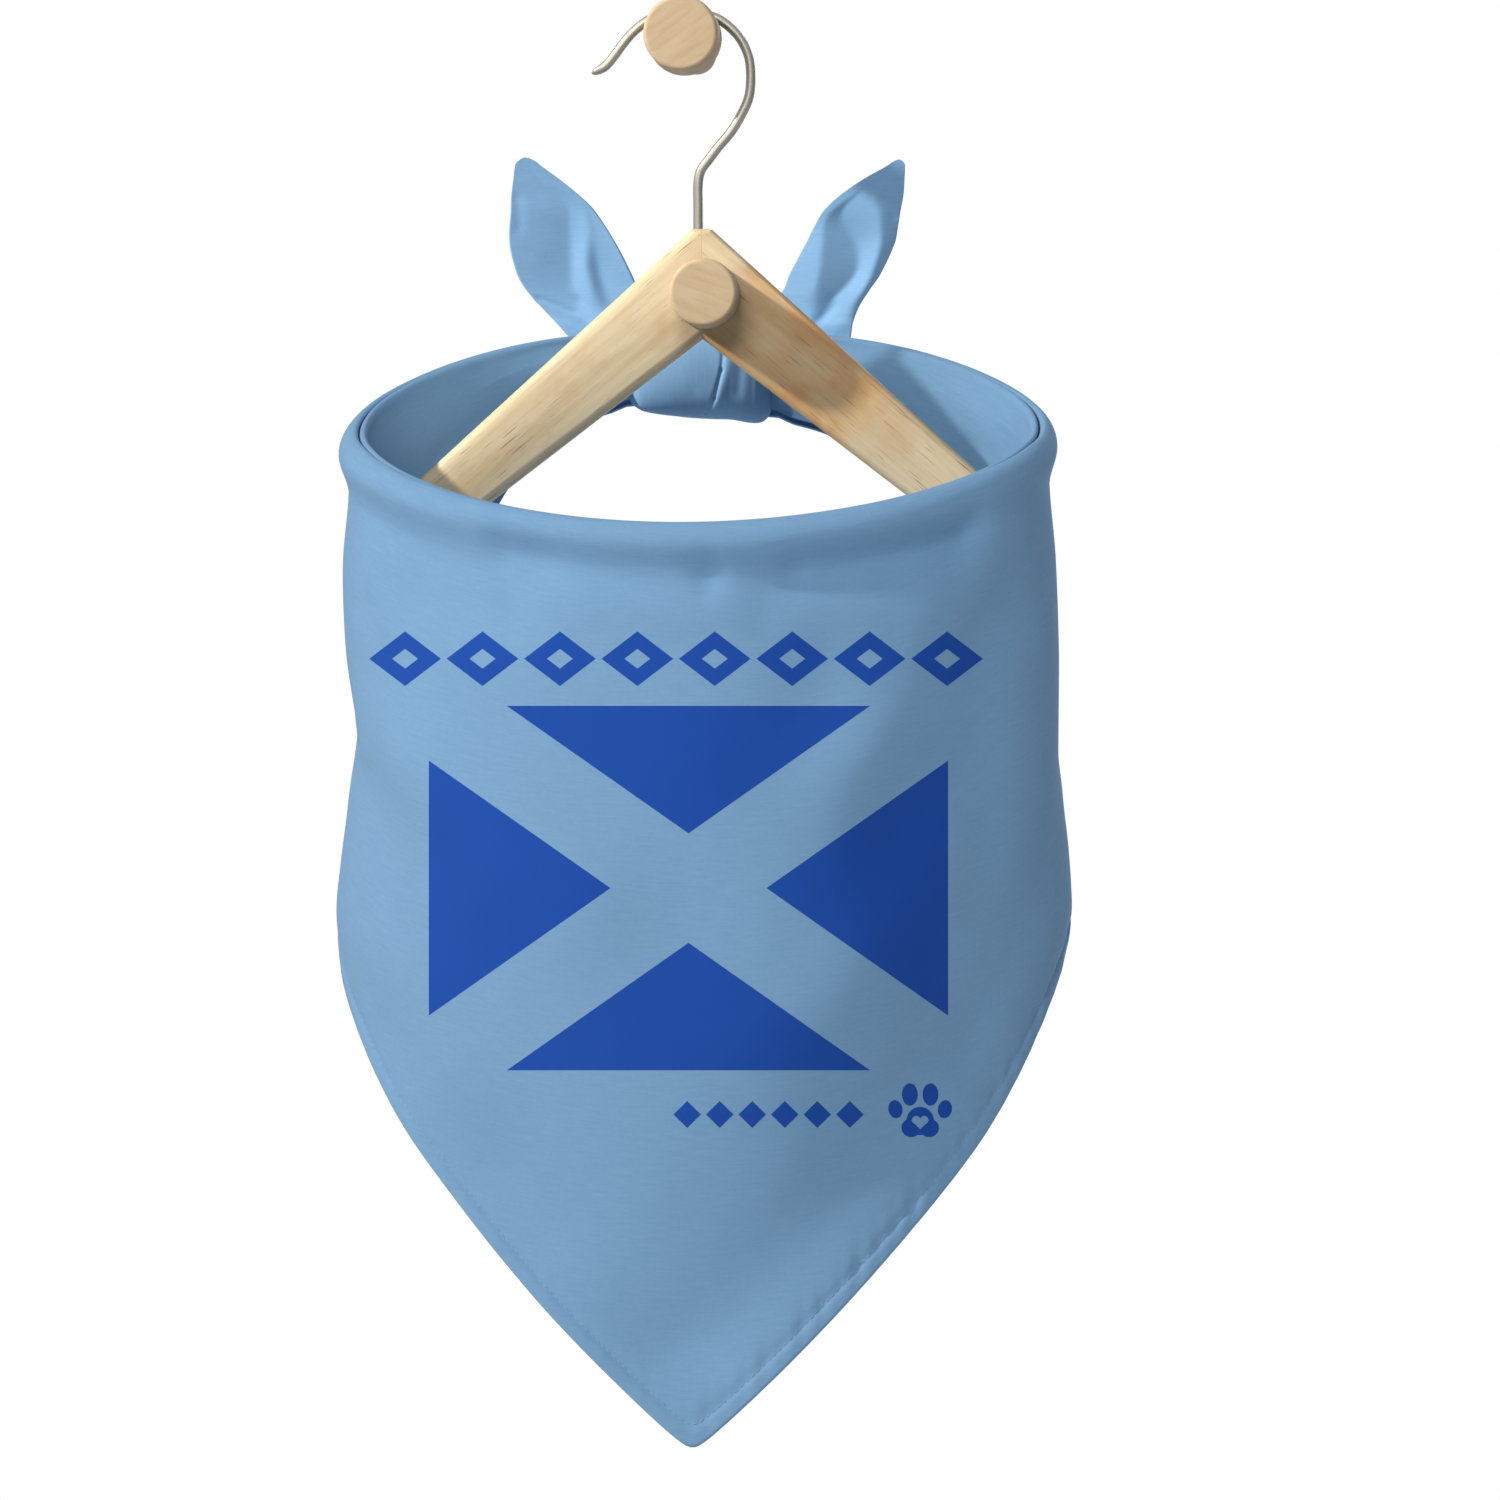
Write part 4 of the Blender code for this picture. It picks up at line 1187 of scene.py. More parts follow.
    def grid(self) -> tuple[Array, Array, Array]:
        """Lays out every column and row of the cloth.

        Returns:
            Their distances across and down, and their points.
        """
        across = self.loop.columns(self.front_step, self.back_step)[:, None]
        scale, edge = self.loop.roll_scale(across), self.loop.edge_drop(across)
        roll = curve_through(self.ROLL, self.roll_rows) * MM
        top = roll[-1, 1] * scale
        share = self.loop.hem_share(edge)
        hem = self.hem_width * share
        body, last = (np.linspace(0.0, 1.0, rows + 1)[None, 1:] for rows in (self.body_rows, self.hem_rows))
        drop = np.hstack([roll[None, :, 1] * scale, top + (edge - hem - top) * body, edge - hem * (1 - last)])
        above = edge - drop
        rounded = np.sqrt(ease(1 - above / hem) * np.clip(above / self.edge_roundness, 0.0, 1.0))
        groove = -self.groove_depth * np.exp(-(((above - hem) / self.groove_width) ** 2))
        out = np.hstack([roll[None, :, 0], roll[-1, 0] * (1 - body), 0 * last]) + 0 * edge
        out = out + (self.hem_raise * rounded + groove + self.puckers(across, above)) * share
        crevice = ease((across - self.seam_start) / self.seam_rise) * np.exp(-drop / self.seam_depth)
        out = out + self.seam_gap * crevice * (out < self.seam_inside)
        points = self.loop.place(across, drop, out, self.FINE_FOLDS)
        return np.broadcast_to(across, drop.shape), drop, self.loop.meet_knot(points)

    def build(self, printed: Material, plain: Material) -> Object:
        """Makes the hanging cloth.

        Args:
            printed: The finish of its outer face.
            plain: The finish of its inner face.

        Returns:
            The piece.
        """
        across, drop, points = self.grid()
        maps = {"weave": np.stack([across, drop], -1), "print": self.studio.print_places(points)}
        obj = grid_object("bandana_drape", points, maps)
        obj.data.materials.append(printed)
        obj.data.materials.append(plain)
        thicken(obj, self.thickness, inside_slot=1)
        return dress(obj, Slot.CLOTH, "drape", None)


@dataclass
class HemStitching:
    """One row of lockstitch along the free edge, each stitch a short thread that dips in at its ends."""

    drape: Drape
    pitch: float = 2.6 * MM
    stitch: float = 2.0 * MM
    thread_radius: float = 0.17 * MM
    clear_of_knot: float = 6 * MM
    fine_step: float = 0.25 * MM
    sides: int = 6
    rings: int = 5

    def build(self, finish: Material) -> Object:
        """Makes the row of stitches.

        Args:
            finish: The thread.

        Returns:
            The piece.
        """
        loop, count = self.drape.loop, self.sides
        ends = loop.band_left + self.clear_of_knot, loop.band_right - self.clear_of_knot
        line, normals = self.seam_line(np.arange(*ends, self.fine_step))
        lengths = lengths_along(line)
        turns = np.linspace(0.0, 2 * math.pi, count, endpoint=False)[None, :, None]
        arch = np.sin(np.linspace(0.0, math.pi, self.rings))
        radius = (self.thread_radius * (0.45 + 0.55 * arch**0.5))[:, None, None]
        lift = (self.thread_radius * (1.1 * arch - 0.5))[:, None]
        points, faces = [], []
        for k in range(int(lengths[-1] / self.pitch)):
            at = (k + 0.5) * self.pitch + np.linspace(-0.5, 0.5, self.rings) * self.stitch
            middle, normal = (
                np.column_stack([np.interp(at, lengths, axis) for axis in rows.T]) for rows in (line, normals)
            )
            normal = unit(normal)
            across = np.cross(unit(np.gradient(middle, axis=0)), normal)
            middle = middle + normal * lift
            around = np.cos(turns) * across[:, None] + np.sin(turns) * normal[:, None]
            start, last = len(points), len(points) + (self.rings - 1) * count
            points.extend((middle[:, None] + radius * around).reshape(-1, 3).tolist())
            for ring in range(start, last, count):
                for s in range(count):
                    a, b = ring + s, ring + (s + 1) % count
                    faces.append((a, b, b + count, a + count))
            faces.append(tuple(range(start, start + count))[::-1])
            faces.append(tuple(range(last, last + count)))
        mesh = bpy.data.meshes.new("hem_stitches")
        mesh.from_pydata(points, [], faces)
        mesh.shade_smooth()
        return dress(link("hem_stitches", mesh), Slot.CLOTH, None, finish)

    def seam_line(self, across: Array) -> tuple[Array, Array]:
        """Points and outward normals along the hem's groove.

        Args:
            across: Distances along the loop.

        Returns:
            The points and the normals.
        """
        loop, drape = self.drape.loop, self.drape
        edge = loop.edge_drop(across)
        share = loop.hem_share(edge)
        hem = drape.hem_width * share
        out = (drape.puckers(across, hem) - drape.groove_depth) * share

        def at(shift_across: float, shift_drop: float) -> Array:
            """Cloth points beside the seam."""
            return loop.place(across + shift_across, edge - hem + shift_drop, out, drape.FINE_FOLDS)

        step = 0.5 * MM
        return at(0.0, 0.0), unit(np.cross(at(step, 0.0) - at(-step, 0.0), at(0.0, -step) - at(0.0, step)))


@dataclass
class NeckTurnIn:
    """The layer turned in at the neck: a thin lip beside the roll, and a band that lies inside the loop."""

    loop: ClothLoop
    thickness: float = 1.1 * MM
    depth: float = 64.0 * MM
    hidden_edge: float = 2.5 * MM
    front_step: float = 2.4 * MM
    back_step: float = 1.8 * MM
    front_half: float = 120 * MM
    lip_rows: int = 20
    band_rows: int = 34

    # Outwards and down from the crest, from the lip's outer edge.
    LIP: ClassVar = (
        (-4.4, 1.9), (-4.6, 1), (-5, 0.45), (-5.8, 0.25), (-6.7, 0.9), (-7.3, 2.4), (-7.6, 4.6), (-8.2, 8),
        (-8.8, 12.5),
    )
    # Share of the way down the band, and how far out it lies.
    BAND: ClassVar = ((0, -8.8), (0.25, -8.5), (0.5, -7.2), (0.75, -6.4), (1, -6.1))
    FINE_FOLDS: ClassVar = (
        Fold("inner left long crease", -262, 14, -206, 30, 5, 0.9),
        Fold("inner right long crease", 262, 14, 208, 34, 5, 0.9),
        Fold("inner right hollow", 176, 22, 150, 44, 14, 0.8),
        Fold("inner left hollow", -176, 22, -150, 44, 14, 0.8),
        Fold("inner back fold", 232, 6, 196, 18, 5, -0.7),
    )

    def build(self, finish: Material) -> Object:
        """Makes the turned-in layer.

        Args:
            finish: The plain cotton.

        Returns:
            The piece.
        """
        across = self.loop.columns(self.front_step, self.back_step, self.front_half)[:, None]
        scale = self.loop.roll_scale(across)
        lip = curve_through(self.LIP, self.lip_rows) * MM
        top = lip[-1, 1] * scale
        depth = np.minimum(self.depth, self.loop.edge_drop(across) - self.hidden_edge)
        share = np.linspace(0.0, 1.0, self.band_rows + 1)[None, 1:]
        drop = np.hstack([lip[None, :, 1] * scale, top + (depth - top) * share])
        out = np.hstack([lip[None, :, 0], smooth_between(self.BAND, 1, share) * MM]) + 0 * scale
        points = self.loop.meet_knot(self.loop.place(across, drop, out, self.FINE_FOLDS))
        maps = {"weave": np.stack([np.broadcast_to(across, drop.shape), drop], -1)}
        obj = grid_object("bandana_turn_in", points, maps, flip=True)
        thicken(obj, self.thickness)
        return dress(obj, Slot.CLOTH, "neck_turn_in", finish)


@dataclass
class Knot:
    """The overhand knot at the back, as one rounded body with a wrap over it and creases drawn into it."""

    loop: ClothLoop
    inward: float = 3.0 * MM
    drop: float = 14.0 * MM
    wrap_centre: float = -1.0 * MM
    wrap_half: float = 9.0 * MM
    wrap_raise: float = 1.6 * MM
    wrap_edge_depth: float = 1.3 * MM
    wrap_edge_width: float = 1.5 * MM
    wrap_slant: float = 2.0 * MM
    pleat_height: float = 0.6 * MM
    pleat_half: float = 27 * MM
    pleat_pitch: float = 5 * MM
    middle_half_height: float = 18.0 * MM
    turn_radius: float = 15.0 * MM
    around: int = 180
    lengthwise: int = 150

    # Distance along X, half height, half depth and rise of each section.
    RINGS: ClassVar = (
        (-29.6, 10.6, 1.6, 0.8), (-28.9, 12, 3.6, 0.7), (-27.4, 13.4, 5.6, 0.6), (-24.5, 14.9, 7.8, 0.4),
        (-18, 16.2, 10.2, 0.4), (-9, 17.2, 12, 0.5), (0, 17.8, 12.4, 0.5), (8, 18, 12.2, 0.2),
        (14, 18.4, 11.2, -0.4), (18, 18, 9.4, -0.7), (20.4, 16.4, 7.2, -0.7), (21.8, 14, 4.6, -0.6),
        (22.4, 12, 2.2, -0.5),
    )
    # Along the knot, and round it from the top towards the wall, as the distance on the turn radius.
    CREASES: ClassVar = (
        Fold("front crease, upper", 5.4, 78, 4.6, 70, 0.7, -0.5),
        Fold("front crease, middle", 4.6, 70, 1.8, 61, 0.7, -0.7),
        Fold("front crease, lower", 1.8, 61, -1.6, 53, 0.7, -0.6),
        Fold("ridge right of the crease", 8.4, 77, 2.4, 56, 1.9, 0.45),
        Fold("front pleat", 12.6, 80, 10.4, 64, 1.7, -0.3),
        Fold("front right lobe edge", 17.8, 80, 17, 54, 1.6, 0.45),
        Fold("front left soft hollow", -20, 74, -6, 64, 4, -0.5),
        Fold("wrap pleat 1", -5.6, 8, -4.4, 40, 0.9, -0.8),
        Fold("wrap pleat 2", -0.6, 6, 0.2, 42, 0.9, -0.7),
        Fold("wrap pleat 3", 3.6, 8, 4.2, 38, 0.9, -0.8),
        Fold("back left gather 1", -25, 16, -12, 20, 1.3, -0.9),
        Fold("back left gather 2", -25, 24, -12, 25, 1.4, -1),
        Fold("back left gather 3", -25, 33, -12, 29, 1.3, -0.8),
        Fold("back right gather 1", 20, 15, 9.6, 19, 1.3, -0.9),
        Fold("back right gather 2", 20, 24, 9.6, 24, 1.4, -1),
        Fold("back right gather 3", 20, 32, 9.6, 29, 1.3, -0.8),
    )

    def centre(self) -> Vector:
        """Middle of the knot."""
        back = np.array(math.pi)
        x, y = self.loop.plan(back, np.array(-self.inward))
        return Vector((float(x), float(y), float(self.loop.crest(back)) - self.drop))

    def surface(self, along: Array, turn: Array) -> Array:
        """Points of the knot.

        Args:
            along: Distance along X from its middle.
            turn: Angle about X, from straight up towards the wall.

        Returns:
            The points, from the knot's middle.
        """
        half_height, half_depth, rise = (smooth_between(self.RINGS, k, along / MM) * MM for k in (1, 2, 3))
        up, back = np.cos(turn), np.sin(turn)
        behind = np.maximum(back, 0.0)
        slant = along - self.wrap_centre - self.wrap_slant * up
        wrap = np.exp(-((slant / self.wrap_half) ** 6))
        edge = np.exp(-(((np.abs(slant) - self.wrap_half * 1.1) / self.wrap_edge_width) ** 2))
        middle = ease(1 - np.abs(along) / self.pleat_half)
        pleats = np.sin(5 * turn + along / self.pleat_pitch) * middle * (0.25 + 0.75 * behind)
        radial = (self.wrap_raise * wrap - self.wrap_edge_depth * edge) * behind**0.6
        radial = radial + self.pleat_height * pleats + folds_at(self.CREASES, along, turn * self.turn_radius)
        return np.stack([along, back * (half_depth + radial), up * (half_height + 0.4 * radial) + rise], -1)

    def build(self, finish: Material) -> Object:
        """Makes the knot.

        Args:
            finish: The plain cotton.

        Returns:
            The piece.
        """
        along = np.linspace(self.RINGS[0][0] * MM, self.RINGS[-1][0] * MM, self.lengthwise + 1)[:, None]
        turn = np.linspace(0.0, 2 * math.pi, self.around + 1)[None, :]
        along, turn = np.broadcast_arrays(along, turn)
        points = self.surface(along, turn) + np.array(self.centre())
        obj = grid_object("bandana_knot", points, {"weave": np.stack([turn * self.turn_radius, along], -1)})
        self.close(obj)
        return dress(obj, Slot.CLOTH, "knot", finish)

    def close(self, obj: Object) -> None:
        """Joins the surface's two long edges, fills both ends and turns the faces out.

        Args:
            obj: The knot's open surface.
        """
        shape = bmesh.new()
        shape.from_mesh(obj.data)
        bmesh.ops.remove_doubles(shape, verts=shape.verts, dist=0.01 * MM)
        bmesh.ops.holes_fill(shape, edges=[e for e in shape.edges if e.is_boundary])
        bmesh.ops.recalc_face_normals(shape, faces=shape.faces)
        shape.to_mesh(obj.data)
        shape.free()
        obj.data.shade_smooth()


@dataclass
class TieEnd:
    """One standing end of the knot, a pointed leaf of folded cloth.

    Heights are above the knot's top, and places across are from the knot's middle, as seen from the front.
    Each section has its height, its left and right edges, how far it stands back and its curl. Each row of
    the relief has its height, four lines along the cloth, each with its place and how far it stands forward,
    and how far the right edge stands forward.
    """

    knot: Knot
    name: str
    node: str
    sections: Sequence[Sequence[float]]
    relief: Sequence[Sequence[float]]
    folds: Sequence[Fold]
    behind: float = -1.6 * MM
    thickness: float = 1.1 * MM
    tip_round: float = 2.4 * MM
    soften: int = 6
    across_count: int = 72
    along_count: int = 120

    def forward(self, from_knot: Array, up: Array) -> Array:
        """How far the cloth stands forward, from the relief's lines and the small folds.

        Args:
            from_knot: Distance right of the knot's middle, columns x rows.
            up: Height above the knot's top, columns x rows.

        Returns:
            The distance towards the viewer, columns x rows.
        """
        rows = np.array([smooth_between(self.relief, k, up[0] / MM) * MM for k in range(1, 10)])
        places = np.vstack([from_knot[0], rows[0:8:2], from_knot[-1]])
        heights = np.vstack([0 * rows[0], rows[1:8:2], rows[8]])
        levels = range(from_knot.shape[1])
        out = np.column_stack([np.interp(from_knot[:, j], places[:, j], heights[:, j]) for j in levels])
        for _ in range(self.soften):
            out[1:-1] = (out[:-2] + 2 * out[1:-1] + out[2:]) / 4
            out[:, 1:-1] = (out[:, :-2] + 2 * out[:, 1:-1] + out[:, 2:]) / 4
        return out + folds_at(self.folds, from_knot, up)

    def build(self, finish: Material) -> Object:
        """Makes the tie end.

        Args:
            finish: The plain cotton.

        Returns:
            The piece.
        """
        side = np.linspace(-1.0, 1.0, self.across_count + 1)[:, None]
        low, top = self.sections[0][0] * MM, self.sections[-1][0] * MM
        share = np.linspace(0.0, 1.0, self.along_count + 1)[None, :]
        up = low + (top - low) * np.sin(share * math.pi / 2) ** 0.9
        left, right, setback, curl = (smooth_between(self.sections, k, up / MM) * MM for k in range(1, 5))
        near_tip = np.clip((up - top + self.tip_round) / self.tip_round, 0.0, 0.995)
        from_knot = (left + right) / 2 + (right - left) / 2 * np.sqrt(1 - near_tip**2) * side
        up = up + 0 * side
        loop, centre = self.knot.loop, self.knot.centre()
        y = loop.y + loop.half_depth + self.behind + setback + curl / 2 - self.forward(from_knot, up)
        points = np.stack([centre.x + from_knot, y, centre.z + self.knot.middle_half_height + up], -1)
        obj = grid_object(self.name, points, {"weave": np.stack([from_knot, up], -1)}, flip=True)
        thicken(obj, self.thickness)
        return dress(obj, Slot.CLOTH, self.node, finish)


LEFT_SECTIONS = (
    (-11, -37.1, -22, 3.4, 0), (-8.5, -45, -18, 3.4, 0), (-5.5, -51.4, -15.5, 3.5, 0.2),
    (-0.9, -55.6, -15, 3.6, 0.6), (0.5, -56.9, -16, 3.7, 1), (5, -61.4, -21.4, 3.8, 1.6),
    (10.8, -66.5, -26.3, 3.4, 2), (16.6, -70.1, -29, 3, 1.8), (28.2, -73, -34.8, 2.2, 1),
    (39.7, -72.4, -42.3, 1, 0.6), (45.5, -72.1, -48.1, 0.2, 0.8), (51.3, -71.3, -55.3, -0.8, 0.8),
    (55.8, -70.6, -61.5, -1.6, 0.6), (58.6, -69.5, -64.3, -2, 0.2),
)
RIGHT_SECTIONS = (
    (-12, 16, 41, 3.2, 0), (-9.5, 12.5, 48.1, 3.2, 0), (-6.5, 10.6, 50, 3.3, 0.2),
    (-0.9, 10.4, 50.9, 3.6, 0.8), (0.5, 12.2, 51.3, 3.7, 2), (5, 18.5, 53.1, 3.8, 3.2),
    (10.8, 25.4, 56.7, 3.2, 4), (16.6, 27.9, 60.7, 2.8, 4.2), (28.2, 34.1, 66.1, 2.2, 3.8),
    (33.9, 37, 67.2, 1.8, 3.2), (39.7, 40.6, 68.2, 1, 2.6), (45.5, 47.1, 69.3, 0.2, 2),
    (51.3, 56.1, 69.7, -0.8, 1.2), (55.2, 63.3, 69.9, -1.6, 0.6), (57.4, 65.6, 69.7, -2, 0.2),
)
LEFT_RELIEF = (
    (-11, -35.8, 0, -34.2, 0, -32.4, 0, -30.8, 0, 0),
    (0, -53, -0.1, -46, -0.8, -40, 0.3, -32, -0.6, 0.3),
    (6, -58.5, -0.3, -49, -1.5, -42, 0.3, -36.5, -1.1, 0.8),
    (13.1, -63, -0.6, -50.5, -2.2, -43.4, 0.2, -39.5, -1.5, 1.1),
    (19.8, -63.5, -0.8, -50.7, -2.4, -45.2, 0, -41, -1.4, 1.3),
    (27.4, -61.5, -0.9, -50.8, -2.2, -44.5, 0.2, -42.3, -0.3, 0.9),
    (33, -62.5, -0.8, -51.2, -1.8, -44, 0.2, -42, 0, 0.5),
    (41.7, -64, -0.3, -52, -0.8, -47, 0, -45.5, 0, 0.2),
    (50, -67, -0.1, -61, -0.2, -58, 0, -57, 0, 0),
    (58.6, -67.9, 0, -67.3, 0, -66.8, 0, -66.3, 0, 0),
)
RIGHT_RELIEF = (
    (-12, 31, 0, 34, 0, 37, 0, 39, 0, 0),
    (0, 36, 1.4, 40, 0.8, 48, 1.4, 50, 1.1, 0.6),
    (6.4, 37.2, 1.9, 42.3, 0.3, 51, 1.6, 53, 1.2, 0.7),
    (11.4, 37.6, 2.1, 47.3, -0.6, 54.9, 1.1, 56.3, 0.6, 0.1),
    (18.2, 38.9, 1.9, 52.5, -1.4, 58.2, 0.6, 60.3, -0.3, -0.9),
    (27.4, 40, 1.4, 52.2, -1.6, 60.9, 1.2, 64.3, 0, -0.7),
    (37.5, 41.5, 0.3, 46.5, -0.8, 60.7, 1.2, 65.5, -0.1, -0.7),
    (44.2, 49.5, 0.1, 51.5, -0.1, 59.5, 0.7, 65, 0.1, -0.2),
    (51, 58.5, 0.1, 61, 0, 64.5, 0.2, 67.5, 0.1, 0),
    (57.4, 67.5, 0, 67.9, 0, 68.3, 0, 68.7, 0, 0),
)
LEFT_FOLDS = (
    Fold("layer edge", -62.4, 8.2, -48.8, 2.9, 0.9, -0.5),
    Fold("layer lip", -61.8, 6.6, -48.4, 1.4, 1.3, 0.35),
    Fold("left edge hollow", -70, 44, -69.4, 34, 2.4, -0.3),
    Fold("gather to the knot", -48, 8, -32, -6, 1.8, -0.5),
)
RIGHT_FOLDS = (
    Fold("small dent near the tip", 62, 47, 66, 38, 2, -0.25),
    Fold("gather to the knot", 44, 5, 30, -8, 1.8, -0.5),
)
LEFT_EAR = ("bandana_left_end", "left_tie_end", LEFT_SECTIONS, LEFT_RELIEF, LEFT_FOLDS)
RIGHT_EAR = ("bandana_right_end", "right_tie_end", RIGHT_SECTIONS, RIGHT_RELIEF, RIGHT_FOLDS)


# ----------------------------------------------------------------------------------- hanger, hook and peg


def pick(obj: Object, kind: str, test: Callable[[Any], bool]) -> None:
    """Selects what passes a test, in edit mode.

    Args:
        obj: The object in edit mode.
        kind: EDGE or FACE.
        test: Takes a bmesh edge or face and says whether to select it.
    """
    bpy.ops.mesh.select_mode(type=kind)
    bpy.ops.mesh.select_all(action="DESELECT")
    shape = bmesh.from_edit_mesh(obj.data)
    for part in shape.edges if kind == "EDGE" else shape.faces:
        if test(part):
            part.select_set(True)
    shape.select_flush_mode()
    bmesh.update_edit_mesh(obj.data)


def settle(obj: Object, smooth_degrees: float) -> None:
    """Leaves edit mode and shades the round stretches smooth.

    Args:
        obj: The object in edit mode.
        smooth_degrees: Edges that turn by less are shaded smooth.
    """
    bpy.ops.object.mode_set(mode="OBJECT")
    select_only(obj)
    bpy.ops.object.shade_smooth_by_angle(angle=math.radians(smooth_degrees))


@dataclass
class HangerArm:
    """One flat bar of the hanger, cut to its mitre and taper from a blank, then rounded and chamfered."""

    side: Side
    x: float = 6.1 * MM
    y: float = -66.0 * MM
    apex_z: float = -67.0 * MM
    gap: float = 0.04 * MM
    inner_drop: float = 38.6 * MM
    flat_half: float = 3.3 * MM
    thickness: float = 11.0 * MM
    chamfer: float = 3.0 * MM
    end_rounding: float = 5.0 * MM
    end_upper: Pair = (108.9 * MM, -96.2 * MM)
    end_lower: Pair = (94.7 * MM, -111.2 * MM)
    blank: float = 260.0 * MM

    def build(self, name: str, node: str, wood: Material) -> Object:
        """Makes the arm.

        Args:
            name: The piece's name.
            node: The solid that it stands for.
            wood: Its finish.

        Returns:
            The piece.
        """
        bpy.ops.object.select_all(action="DESELECT")
        size = (self.blank, self.thickness, self.blank)
        bpy.ops.mesh.primitive_cube_add(size=1.0, location=(self.x, self.y, self.apex_z), scale=size)
        obj = added(name)
        bpy.ops.object.mode_set(mode="EDIT")
        for point, normal in self.cuts():
            bpy.ops.mesh.select_all(action="SELECT")
            bpy.ops.mesh.bisect(plane_co=self.world(point), plane_no=normal, use_fill=True, clear_outer=True)
        ends = [self.world(point) for point in (self.end_upper, self.end_lower)]

        def depth(edge: bmesh.types.BMEdge) -> float:
            """How far an edge runs along Y."""
            return abs(edge.verts[0].co.y - edge.verts[1].co.y)

        def off_end(vertex: bmesh.types.BMVert) -> float:
            """How far a corner is from the nearer corner of the arm's end."""
            return min(abs(vertex.co.x - x) + abs(vertex.co.z - z) for x, _, z in ends)

        def at_end(edge: bmesh.types.BMEdge) -> bool:
            """Tells the two edges that round off the arm's end."""
            return depth(edge) > self.thickness / 2 and all(off_end(v) < 0.1 * MM for v in edge.verts)

        def on_outline(edge: bmesh.types.BMEdge) -> bool:
            """Tells the outline's edges on both faces, but for the mitre."""
            mitre = all(abs(v.co.x - self.x) < 0.5 * MM for v in edge.verts)
            return depth(edge) < 0.01 * MM and not mitre

        pick(obj, "EDGE", at_end)
        bpy.ops.mesh.bevel(offset=self.end_rounding, segments=6, affect="EDGES")
        pick(obj, "EDGE", on_outline)
        bpy.ops.mesh.bevel(offset=self.chamfer, segments=3, profile=0.42, affect="EDGES", clamp_overlap=True)
        settle(obj, 28)
        return dress(obj, Slot.HANGER_WOOD, node, wood)

    def world(self, point: Pair) -> Place:
        """A point of the arm's outline, in the world."""
        return (self.x + self.side.value * point[0], self.y, self.apex_z + point[1])

    def cuts(self) -> list[tuple[Pair, Place]]:
        """Planes that cut the arm out of its blank.

        Returns:
            A point of each plane, and its outward normal.
        """
        hand = self.side.value
        planes = [((self.gap / 2, 0.0), (-hand, 0.0, 0.0)), ((self.flat_half, 0.0), (0.0, 0.0, 1.0))]
        outline = [(self.flat_half, 0.0), self.end_upper, self.end_lower, (0.0, -self.inner_drop)]
        for start, end in zip(outline, outline[1:]):
            run = Vector((end[0] - start[0], end[1] - start[1])).normalized()
            planes.append((start, (-run.y * hand, 0.0, run.x)))
        return planes


@dataclass
class TurnedPeg:
    """A round peg along Y: a head with an eased front edge, and a thinner shaft behind it if it has one."""

    name: str
    node: str
    slot: Slot
    front_centre: Place
    radius: float
    length: float
    shaft_radius: float = 0.0
    shaft_length: float = 0.0
    easing: float = 1.4 * MM
    back_easing: float = 0.6 * MM
    rim: float = 0.5 * MM
    sides: int = 96

    def build(self, wood: Material) -> Object:
        """Makes the peg.

        Args:
            wood: Its finish.

        Returns:
            The piece.
        """
        x, front, z = self.front_centre
        back = front + self.length
        bpy.ops.object.select_all(action="DESELECT")
        bpy.ops.mesh.primitive_cylinder_add(
            vertices=self.sides, radius=self.radius, depth=self.length, end_fill_type="NGON",
            location=(x, front + self.length / 2, z), rotation=(math.pi / 2, 0.0, 0.0),
        )
        obj = added(self.name)

        def pick_end(kind: str, y: float) -> None:
            """Selects the rim or the face of the peg's end at y."""
            if kind == "EDGE":
                pick(obj, kind, lambda e: all(abs(v.co.y - y) < 0.1 * MM for v in e.verts))
            else:
                pick(obj, kind, lambda f: abs(f.calc_center_median().y - y) < 0.01 * MM and len(f.verts) > 4)

        bpy.ops.object.mode_set(mode="EDIT")
        pick_end("EDGE", front)
        bpy.ops.mesh.bevel(offset=self.easing, segments=5, profile=0.5, affect="EDGES")
        pick_end("FACE", front)
        bpy.ops.mesh.inset(thickness=self.rim)
        if self.shaft_length > 0:
            pick_end("EDGE", back)
            bpy.ops.mesh.bevel(offset=self.back_easing, segments=2, affect="EDGES")
            pick_end("FACE", back)
            bpy.ops.mesh.inset(thickness=self.radius - self.back_easing - self.shaft_radius)
            bpy.ops.mesh.extrude_region_move(TRANSFORM_OT_translate={"value": (0.0, self.shaft_length, 0.0)})
        settle(obj, 35)
        return dress(obj, self.slot, self.node, wood)


